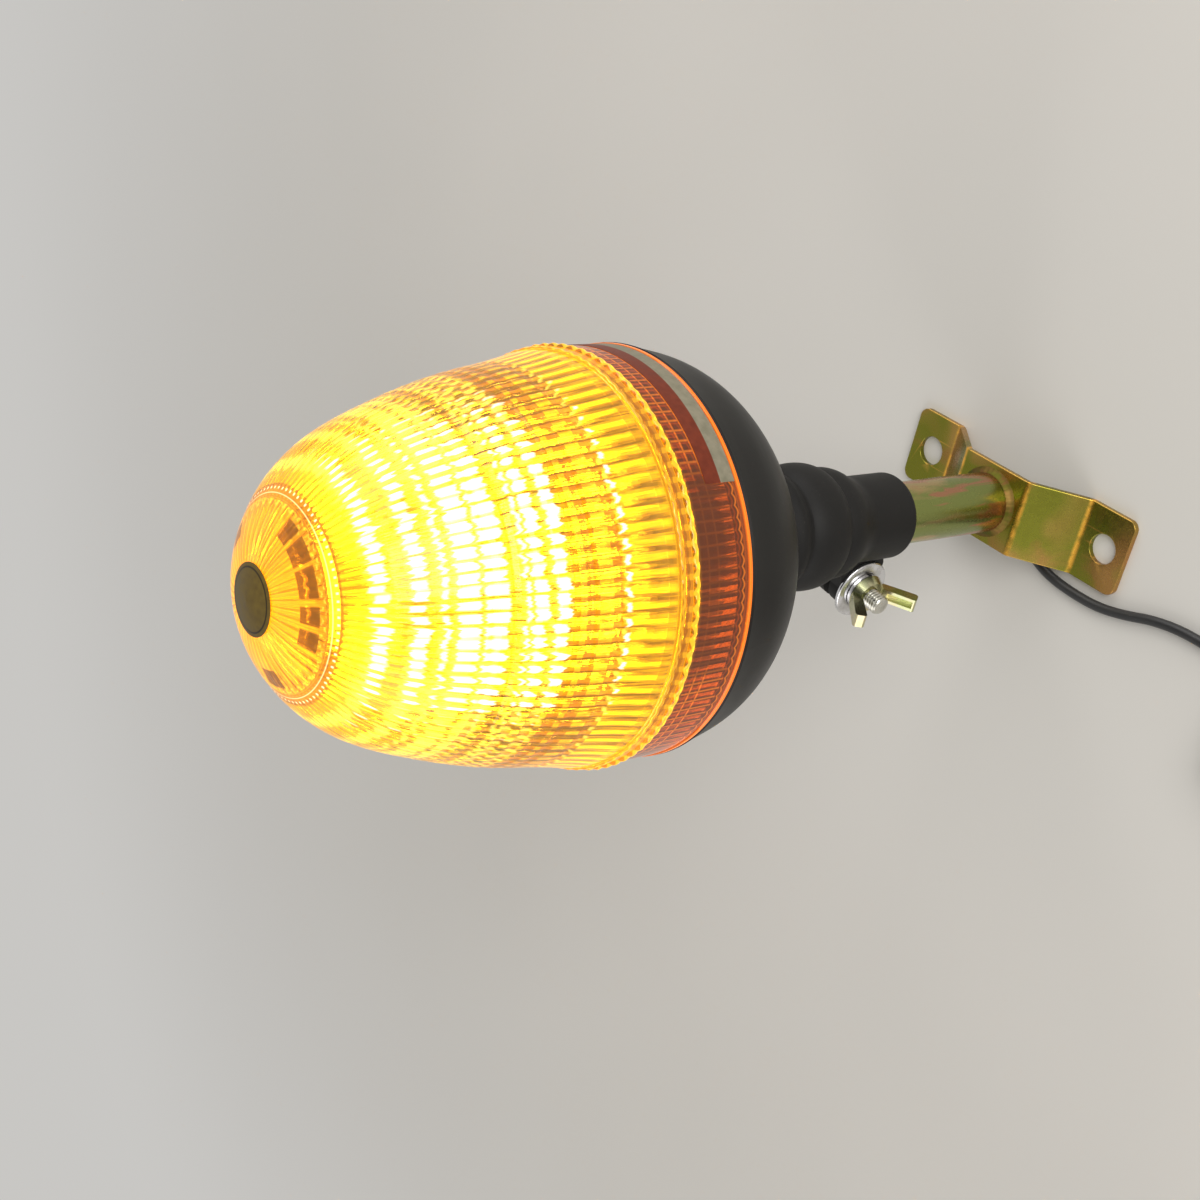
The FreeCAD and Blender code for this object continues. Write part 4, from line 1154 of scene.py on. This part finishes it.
def valley_of(angle, count):
    """How near an angle is to the middle between two of so many ribs or flutes, from 0 to 1."""
    return abs((angle * count / (2 * math.pi)) % 1.0 * 2 - 1)


def inner_rings():
    """Rings of the inside, from the rim up, with the band's ribs, the dome's flutes and the cap's."""
    wall_radius = band_radius - lens_wall
    ribs, flutes, cap = band_ribs * 8, dome_flutes * 10, cap_flutes * 16

    def plain(columns, radius, height):
        """A ring with nothing on it."""
        return columns, lambda angle: (radius, height)

    def rib(height, share):
        """A ring of the band's ribs."""
        return ribs, lambda angle: (wall_radius + rib_depth * share * valley_of(angle, band_ribs), height)

    def flute(height, share):
        """A ring of the dome's flutes, which are cut square to its surface."""
        crest = np.array(dome_at(height, lens_wall))
        root = np.array(dome_at(height, lens_wall - flute_depth))
        return flutes, lambda angle: crest + (root - crest) * valley_of(angle, dome_flutes) ** 1.4 * share

    def cap_flute(radius, height, share):
        """A ring of the cap's shallow flutes, which swirl a little and step down at the pads."""

        def ring(angle):
            """Radius and height of the ring at an angle."""
            wave = 0.5 - 0.5 * math.cos(cap_flutes * angle + 0.5 * math.sin(5 * angle + radius * 0.3))
            turned = math.degrees(angle) % 360
            padded = any(start < turned < end or start < turned - 360 < end for start, end in pad_turns)
            sunk = pad_depth if padded and pad_inner < radius < pad_outer else 0.0
            return radius, height + cap_flute_depth * share * wave - sunk

        return cap, ring

    rings = [plain(ribs, wall_radius, 0.0), plain(ribs, wall_radius, 4.2), rib(4.6, 0.0)]
    rings += [rib(height, 1.0) for height in (4.9, 10.0, 15.5, 20.5)]
    rings += [rib(20.8, 0.0), plain(flutes, wall_radius, 22.0), plain(flutes, wall_radius, 26.2)]
    rings += [plain(flutes, 65.3, 28.2), plain(flutes, 65.0, 30.3), flute(30.9, 0.0), flute(31.3, 1.0)]
    rings += [flute(height, 1.0) for height in np.arange(33.0, 121.5, 2.0)]
    rings += [flute(122.0, 1.0), flute(122.5, 0.0)]
    rings += [plain(cap, radius, height) for radius, height in ((28.9, 123.0), (28.7, 123.5), (28.3, 123.2))]
    profile = smooth_run(cap_points, 34)[:-1]
    pad_walls = [edge + side for edge in (pad_outer, pad_inner) for side in (0.1, -0.1)]
    wall_places = [[radius, np.interp(radius, *profile[::-1].T)] for radius in pad_walls]
    for radius, height in sorted(profile.tolist() + wall_places, reverse=True):
        fading = min(1.0, max(0.0, (radius - cap_flute_end) / cap_flute_fade))
        rings.append(cap_flute(radius, height, fading))
    return rings


def join_rings(faces, lower, upper, flip):
    """Joins two (first point, count) rings with quads, or with triangles where their counts differ."""
    (low, low_count), (high, high_count) = lower, upper
    i = j = 0
    while i < low_count or j < high_count:
        low_here, low_next = low + i % low_count, low + (i + 1) % low_count
        high_here, high_next = high + j % high_count, high + (j + 1) % high_count
        if low_count == high_count:
            face = (low_here, low_next, high_next, high_here)
            i, j = i + 1, j + 1
        elif j >= high_count or (i < low_count and (i + 1) / low_count <= (j + 1) / high_count):
            face = (low_here, low_next, high_here)
            i += 1
        else:
            face = (low_here, high_next, high_here)
            j += 1
        faces.append(face[::-1] if flip else face)


def skin_of(points, faces, rings, tip, flip):
    """Adds one side of the lens, closed on the axis at the tip's height, and gives its lowest ring."""
    made = []
    for columns, shape in rings:
        made.append((len(points), columns))
        for i in range(columns):
            angle = 2 * math.pi * i / columns
            radius, height = shape(angle)
            x, y = radius * math.cos(angle), radius * math.sin(angle)
            points.append((x * MM, y * MM, lens_low.z + height * MM))
    for lower, upper in zip(made, made[1:]):
        join_rings(faces, lower, upper, flip)
    start, columns = made[-1]
    top = len(points)
    points.append((0, 0, lens_low.z + tip * MM))
    for i in range(columns):
        face = (start + i, start + (i + 1) % columns, top)
        faces.append(face[::-1] if flip else face)
    return made[0]


def lens_mesh():
    """Outside and inside, joined round the rim."""
    points, faces = [], []
    outside = skin_of(points, faces, outer_rings(), dome_points[-1][1], False)
    inside = skin_of(points, faces, inner_rings(), cap_points[-1][1], True)
    join_rings(faces, outside, inside, True)
    return points, faces


def sector_mask(tree, flat, turns, soft):
    """A mask over (start, end) turns about the pole, in degrees, of a place seen from above."""
    mask = 0.0
    for start, end in turns:
        middle = math.radians((start + end) / 2)
        facing = node(tree, "VectorRotate", rotation_type="Z_AXIS", Vector=flat, Angle=-middle)
        sides = node(tree, "SeparateXYZ", Vector=facing.outputs[0]).outputs
        angle = calc(tree, "ARCTAN2", sides["Y"], sides["X"])
        mask = calc(tree, "MAXIMUM", mask, band_of(tree, angle, 0.0, math.radians(end - start) / 2, soft))
    return mask


def lens_light_marks_group():
    """Masks where light and shade are painted on the lens: height, grooves' dashes, flute lines, beads, cap
    and pads.
    """
    band_marks = ("Rib", "Rope", "Loop")
    dome_marks = ("Height", "Dash", "Line", "Row", "Flare")
    tip_marks = ("Dot", "Shoulder", "Cap", "Pad")
    group, given, out = effect_group("lens_light_marks", {"Foot": 0.2}, band_marks + dome_marks + tip_marks)
    parts = node(group, "SeparateXYZ", Vector=own_place(group)).outputs
    height = calc(group, "DIVIDE", calc(group, "SUBTRACT", parts["Z"], given["Foot"]), MM)
    turn = calc(group, "ARCTAN2", parts["Y"], parts["X"])
    flute = calc(group, "COSINE", calc(group, "MULTIPLY", turn, float(dome_flutes)))
    group.links.new(height, out["Height"])

    # painted dark dashes of shade where the grooves cross the flutes, short near the tip and long near the
    # band
    grooves = 0.0
    for place, middle in enumerate(groove_heights):
        grooves = calc(group, "MAXIMUM", grooves, band_of(group, height, middle, 2.1 - 0.17 * place, 0.35))
    dash = fade(group, flute, -0.55, -0.15)
    group.links.new(calc(group, "MULTIPLY", grooves, dash), out["Dash"])

    # each flute gets a few fine painted lines of light and shade that run up it and change slowly on the way
    across = calc(group, "MULTIPLY", turn, dome_flutes * 5 / (2 * math.pi))
    streak_spot = node(group, "CombineXYZ", X=across, Y=calc(group, "MULTIPLY", height, 0.05)).outputs[0]
    line = calc(group, "MULTIPLY_ADD", flute, 0.14, noise(group, streak_spot, 1.0))
    group.links.new(fade(group, line, 0.36, 0.66), out["Line"])

    # the LEDs flare in rows of spikes, one to a flute, of uneven length
    uneven = calc(group, "SUBTRACT", noise(group, streak_spot, 0.45, 3.0), 0.5)
    spiked = calc(group, "MULTIPLY_ADD", uneven, 7.0, calc(group, "MULTIPLY_ADD", flute, 0.25, height))
    rows = 0.0
    for middle, half in flare_rows:
        rows = calc(group, "MAXIMUM", rows, band_of(group, spiked, middle, half, 0.9))
    group.links.new(rows, out["Row"])
    lobe = calc(group, "COSINE", calc(group, "MULTIPLY", turn, float(led_strips)))
    flare = calc(group, "MULTIPLY_ADD", lobe, 0.10, calc(group, "MULTIPLY", flute, 0.55))
    group.links.new(calc(group, "MULTIPLY_ADD", uneven, 1.6, flare), out["Flare"])

    # the two beads are painted as glowing ropes of light, with loops of painted shade between them
    wavy = calc(group, "MULTIPLY_ADD", flute, 0.28, height)
    fine_rope = calc(group, "MULTIPLY", band_of(group, wavy, fine_rope_height, 0.35, 0.25), 0.45)
    rope = band_of(group, wavy, rope_height, 0.75, 0.25)
    group.links.new(calc(group, "MAXIMUM", rope, fine_rope), out["Rope"])
    loops = band_of(group, height, loop_height, 1.1, 0.4)
    group.links.new(calc(group, "MULTIPLY", loops, dash), out["Loop"])

    # a ring of painted bright dots of light, one to a flute, and a thin painted bright thread lie on the
    # cap's shoulder, which is painted dark as shade
    dots = band_of(group, height, dot_ring_height - 0.3, 0.15, 0.2)
    dots = calc(group, "MULTIPLY", dots, fade(group, flute, 0.45, 0.8))
    thread = calc(group, "MULTIPLY", band_of(group, height, dot_ring_height + 0.75, 0.05, 0.1), 0.5)
    group.links.new(calc(group, "MAXIMUM", dots, thread), out["Dot"])
    group.links.new(band_of(group, height, dot_ring_height + 0.3, 1.4, 0.3), out["Shoulder"])

    # inside the shoulder the cap's flutes are painted as swirling rays of light, and its bare pads as dark
    # fields of painted shade
    on_cap = calc(group, "GREATER_THAN", height, dot_ring_height)
    flat = node(group, "CombineXYZ", X=parts["X"], Y=parts["Y"]).outputs[0]
    radius = node(group, "VectorMath", operation="LENGTH", in_0=flat).outputs["Value"]
    radius = calc(group, "DIVIDE", radius, MM)
    swirl = calc(group, "MULTIPLY_ADD", radius, 0.05, calc(group, "MULTIPLY", turn, float(cap_flutes)))
    ray = fade(group, calc(group, "COSINE", swirl), -0.6, 0.7)
    group.links.new(calc(group, "MULTIPLY", ray, on_cap), out["Cap"])
    ringed = band_of(group, radius, (pad_inner + pad_outer) / 2, (pad_outer - pad_inner) / 2, 0.25)
    pads = calc(group, "MULTIPLY", sector_mask(group, flat, pad_turns, 0.02), ringed)
    group.links.new(calc(group, "MULTIPLY", pads, on_cap), out["Pad"])

    # the band's inside ribs catch the light as fine upright lines, brighter where the light leaks down
    rib = calc(group, "ABSOLUTE", calc(group, "COSINE", calc(group, "MULTIPLY", turn, band_ribs / 2)))
    lines = fade(group, rib, 0.45, 0.15)
    for middle in rib_crossings:
        lines = calc(group, "MAXIMUM", lines, band_of(group, height, middle, 0.2, 0.3))
    leak = calc(group, "MULTIPLY_ADD", sector_mask(group, flat, leak_turns, 0.12), 0.9, 0.1)
    on_ribs = band_of(group, height, ribbed_middle, ribbed_half, 0.4)
    ribs = calc(group, "MULTIPLY", calc(group, "MULTIPLY", lines, leak), on_ribs)
    wavy_foot = calc(group, "MULTIPLY_ADD", rib, 0.8, height)
    foot_line = band_of(group, wavy_foot, foot_line_height, 0.2, 0.25)
    group.links.new(calc(group, "MAXIMUM", ribs, foot_line), out["Rib"])
    return group


lens_tints_and_shade = [
    # share of the lens's height, amber colour there, painted dark on the band as shade and bright in the
    # dome as light
    (0.0, (0.75, 0.22, 0.01)),
    (0.012, (0.13, 0.028, 0.001)),
    (0.150, (0.13, 0.028, 0.001)),
    (0.160, (0.55, 0.25, 0.005)),
    (0.203, (0.55, 0.25, 0.005)),
    (0.215, (0.62, 0.34, 0.008)),
    (0.330, (0.80, 0.46, 0.008)),
    (0.380, (1.0, 0.56, 0.01)),
    (0.88, (1.0, 0.60, 0.01)),
    (1.0, (1.0, 0.42, 0.02)),
]
lens_glows = [
    # share of the lens's height, colour it glows in
    (0.0, (0.80, 0.22, 0.012)),
    (0.0035, (0.20, 0.04, 0.001)),
    (0.0075, (0.85, 0.24, 0.012)),
    (0.0115, (0.10, 0.022, 0.001)),
    (0.016, (0.075, 0.016, 0.0)),
    (0.150, (0.085, 0.019, 0.0)),
    (0.160, (0.30, 0.13, 0.0)),
    (0.203, (0.30, 0.13, 0.0)),
    (0.215, (0.76, 0.36, 0.0)),
    (0.330, (0.68, 0.35, 0.0)),
    (0.380, (0.44, 0.22, 0.0)),
    (0.60, (0.42, 0.24, 0.0)),
    (0.88, (0.42, 0.24, 0.0)),
    (0.93, (0.42, 0.17, 0.0)),
    (1.0, (0.42, 0.13, 0.0)),
]


def amber_lens():
    """Amber polycarbonate with a painted glow: painted dark on the band as shade, yellow in the dome and
    orange at the tip.
    """
    material, tree, shader = finish(
        "amber_polycarbonate",
        Roughness=0.03,
        IOR=1.5,
        Transmission_Weight=1.0,
        Emission_Strength=1.0,
        Specular_IOR_Level=0.12,
    )
    material.cycles.emission_sampling = "NONE"
    light_marks = place_group(tree, lens_light_marks_group(), Foot=lens_low.z)
    share = calc(tree, "DIVIDE", light_marks["Height"], (lens_high.z - lens_low.z) / MM)
    in_dome = fade(tree, light_marks["Height"], 28.0, 29.0)

    def dome_only(factor):
        """A factor for the dome, which leaves the band as it is."""
        return calc(tree, "MULTIPLY_ADD", calc(tree, "SUBTRACT", factor, 1.0), in_dome, 1.0)

    # the grooves' dashes drown in the light where the upper dome faces the viewer
    facing = node(tree, "LayerWeight", Blend=0.5).outputs["Facing"]
    frontal = fade(tree, facing, 0.42, 0.08)
    drowned = calc(tree, "MULTIPLY", frontal, fade(tree, light_marks["Height"], 60.0, 66.0, 0.0, 0.9))
    marks = calc(tree, "MULTIPLY", light_marks["Dash"], calc(tree, "SUBTRACT", 1.0, drowned))
    marks = calc(tree, "MULTIPLY", calc(tree, "MAXIMUM", marks, light_marks["Loop"]), 0.9)

    # The amber tint carries painted shade: darker along the flute lines, on the shoulder, in the grooves'
    # dashes and loops, and on the pads.
    shade = dome_only(calc(tree, "MULTIPLY_ADD", calc(tree, "SUBTRACT", light_marks["Line"], 1.0), 0.5, 1.0))
    tint = blend_colour(tree, 1.0, colour_ramp(tree, share, *lens_tints_and_shade), shade, "MULTIPLY")
    tint = blend_colour(tree, light_marks["Shoulder"], tint, (0.30, 0.11, 0.002))
    tint = blend_colour(tree, marks, tint, (0.16, 0.045, 0.001))
    tint = blend_colour(tree, light_marks["Pad"], tint, (0.045, 0.012, 0.0))
    tree.links.new(tint, shader.inputs["Base Color"])

    # rows of light, hottest where the lens faces the viewer and gone towards its edge
    spread = calc(tree, "ADD", light_marks["Flare"], calc(tree, "MULTIPLY_ADD", frontal, 0.95, -0.42))
    hot = calc(tree, "MULTIPLY", fade(tree, spread, 0.0, 0.35), fade(tree, facing, 0.62, 0.38))
    hot = calc(tree, "MULTIPLY", hot, light_marks["Row"])
    # The glow is painted light: it rises along the flute lines, and the overlays below paint light on the
    # cap's rays, the flare rows, the ropes, the ribs and the dots, and painted shade on the shoulder, the
    # dashes, the loops and the pads.
    lift = dome_only(calc(tree, "MULTIPLY_ADD", light_marks["Line"], 0.95, 0.30))
    glow = blend_colour(tree, 1.0, colour_ramp(tree, share, *lens_glows), lift, "MULTIPLY")
    for mask, colour in (
        (calc(tree, "MULTIPLY", light_marks["Cap"], 0.5), (0.75, 0.38, 0.01)),
        (calc(tree, "MULTIPLY", light_marks["Shoulder"], 0.9), (0.16, 0.065, 0.0)),
        (marks, (0.30, 0.10, 0.0)),
        (light_marks["Pad"], (0.24, 0.09, 0.0)),
        (hot, (1.7, 1.6, 1.25)),
        (light_marks["Rope"], (0.95, 0.60, 0.02)),
        (calc(tree, "MULTIPLY", light_marks["Rib"], 0.8), (0.75, 0.17, 0.004)),
        (light_marks["Dot"], (1.6, 1.4, 0.8)),
    ):
        glow = blend_colour(tree, mask, glow, colour)
    tree.links.new(glow, shader.inputs["Emission Color"])

    ripple = noise(tree, own_place(tree), 160.0, 1.0)
    relief = calc(tree, "MULTIPLY_ADD", calc(tree, "MULTIPLY", light_marks["Line"], in_dome), 2.6, ripple)
    emboss(tree, shader, relief, 0.06 * MM, 0.6)
    return material


lens = link_mesh("amber_dome", *lens_mesh(), amber_lens(), "amber_lens", 30.0)
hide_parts("lens")
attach(lens, "lens")

# ---------------------------------------------------------------- bare label strip and tip disc
# Two coloured films with nothing written on them: a strip stuck round part of the band, grey along
# the rim and red-brown above, and a round olive-brown disc in the middle of the tip.
label_split = 7.2 * MM
disc_ring_radius = 9.7 * MM


def film(name, roughness, mottle_scale, roughness_swing, roughness_floor):
    """A film with a rubbed surface; gives its material, tree and shader, its place and its mottle."""
    material, tree, shader = finish(name, Roughness=roughness, Specular_IOR_Level=0.2)
    spot = own_place(tree)
    mottle = noise(tree, spot, mottle_scale, 4.0)
    rough = calc(tree, "MULTIPLY_ADD", mottle, roughness_swing, roughness_floor)
    tree.links.new(rough, shader.inputs["Roughness"])
    emboss(tree, shader, mottle, 0.02 * MM, 0.5)
    return material, tree, shader, spot, mottle


def strip_film():
    """Grey ink along the rim and red-brown ink above it."""
    material, tree, shader, spot, mottle = film("label_film", 0.45, 420.0, 0.2, 0.32)
    height = calc(tree, "SUBTRACT", node(tree, "SeparateXYZ", Vector=spot).outputs["Z"], lens_low.z)
    upper = fade(tree, height, label_split - 0.1 * MM, label_split + 0.1 * MM)
    grey = colour_ramp(tree, mottle, (0.3, (0.19, 0.175, 0.12)), (0.7, (0.26, 0.235, 0.17)))
    red = colour_ramp(tree, mottle, (0.3, (0.13, 0.021, 0.008)), (0.7, (0.18, 0.031, 0.012)))
    tree.links.new(blend_colour(tree, upper, grey, red), shader.inputs["Base Color"])
    return material


def disc_film():
    """Dark olive-brown ink with a thin darker ring near the disc's edge."""
    material, tree, shader, spot, mottle = film("disc_film", 0.4, 500.0, 0.25, 0.25)
    parts = node(tree, "SeparateXYZ", Vector=spot).outputs
    square = calc(tree, "ADD", calc(tree, "POWER", parts["X"], 2.0), calc(tree, "POWER", parts["Y"], 2.0))
    ring = band_of(tree, calc(tree, "SQRT", square), disc_ring_radius, 0.2 * MM, 0.15 * MM)
    face = colour_ramp(tree, mottle, (0.3, (0.12, 0.077, 0.014)), (0.7, (0.165, 0.11, 0.02)))
    tree.links.new(blend_colour(tree, ring, face, (0.035, 0.022, 0.006)), shader.inputs["Base Color"])
    return material


dress("band_label", strip_film())
dress("tip_disc", disc_film())

# ---------------------------------------------------------------- studio
# Not part of the beacon: a matt painted floor, three large soft lamps and a pale surround, which
# the floor runs into. The camera looks down on the beacon from one side.
floor_size = 24.0
surround_colour = (0.58, 0.57, 0.55)
beacon_middle = Vector((0, 0, 0.15))
camera_spot = (0.3988, 0.2430, 0.5733)
camera_right = Vector((0.5838, 0.2004, -0.7868))
camera_up = Vector((-0.4650, 0.8771, -0.1212))
camera_lens = 52.99


def floor_finish():
    """Matt pale paint with a trace of mottle, which runs into the pale surround for the camera alone."""
    material, tree, shader = finish("floor_paint", Roughness=0.9)
    spot = own_place(tree)
    pale = colour_ramp(tree, noise(tree, spot, 3.0), (0.3, (0.70, 0.68, 0.64)), (0.7, (0.74, 0.72, 0.68)))
    tree.links.new(pale, shader.inputs["Base Color"])
    away = node(tree, "VectorMath", operation="LENGTH", in_0=spot).outputs["Value"]
    far = node(tree, "MapRange", interpolation_type="SMOOTHSTEP", in_0=away, in_1=0.3, in_2=1.2).outputs[0]
    seen = calc(tree, "MULTIPLY", far, node(tree, "LightPath").outputs["Is Camera Ray"])
    surround = node(tree, "Emission", Color=surround_colour).outputs[0]
    mixed = node(tree, "MixShader", Fac=seen, in_1=shader.outputs[0], in_2=surround).outputs[0]
    tree.links.new(mixed, tree.nodes["Material Output"].inputs["Surface"])
    return material


half = floor_size / 2
floor_points = [(-half, -half, 0), (half, -half, 0), (half, half, 0), (-half, half, 0)]
floor_mesh = bpy.data.meshes.new("floor")
floor_mesh.from_pydata(floor_points, [], [(0, 1, 2, 3)])
floor_mesh.materials.append(floor_finish())
floor = bpy.data.objects.new("floor", floor_mesh)
bpy.context.scene.collection.objects.link(floor)


def soft_lamp(name, spot, size, power, colour):
    """A square area lamp that faces the beacon's middle."""
    light = bpy.data.lights.new(name, "AREA")
    light.size = size
    light.energy = power
    light.color = colour
    lamp = bpy.data.objects.new(name, light)
    lamp.location = spot
    toward = beacon_middle - Vector(spot)
    lamp.rotation_euler = toward.to_track_quat("-Z", "Y").to_euler()
    lamp.visible_camera = False
    bpy.context.scene.collection.objects.link(lamp)


soft_lamp("key_lamp", (1.3, 1.0, 1.0), 1.2, 22.0, (1.0, 0.98, 0.95))
soft_lamp("fill_lamp", (-0.6, 1.6, 0.7), 1.4, 14.0, (1.0, 0.98, 0.96))
soft_lamp("low_lamp", (0.9, -1.3, 0.8), 1.2, 8.0, (1.0, 0.98, 0.96))
world = bpy.data.worlds.new("pale_surround")
bpy.context.scene.world = world
world.use_nodes = True
sky = world.node_tree
paths = node(sky, "LightPath").outputs
seen = calc(sky, "MAXIMUM", paths["Is Glossy Ray"], paths["Is Transmission Ray"])
seen = calc(sky, "MAXIMUM", paths["Is Camera Ray"], seen)
surround = blend_colour(sky, seen, (0.34, 0.335, 0.325), surround_colour)
sky.links.new(surround, sky.nodes["Background"].inputs["Color"])
bpy.context.scene.view_settings.view_transform = "Standard"

camera_data = bpy.data.cameras.new("camera")
camera_data.lens = camera_lens
camera_data.sensor_width = 36.0
camera = bpy.data.objects.new("camera", camera_data)
bpy.context.scene.collection.objects.link(camera)
camera_back = camera_right.cross(camera_up)
turn_to = Matrix((camera_right, camera_up, camera_back)).transposed().to_4x4()
camera.matrix_world = Matrix.Translation(camera_spot) @ turn_to
bpy.context.scene.camera = camera
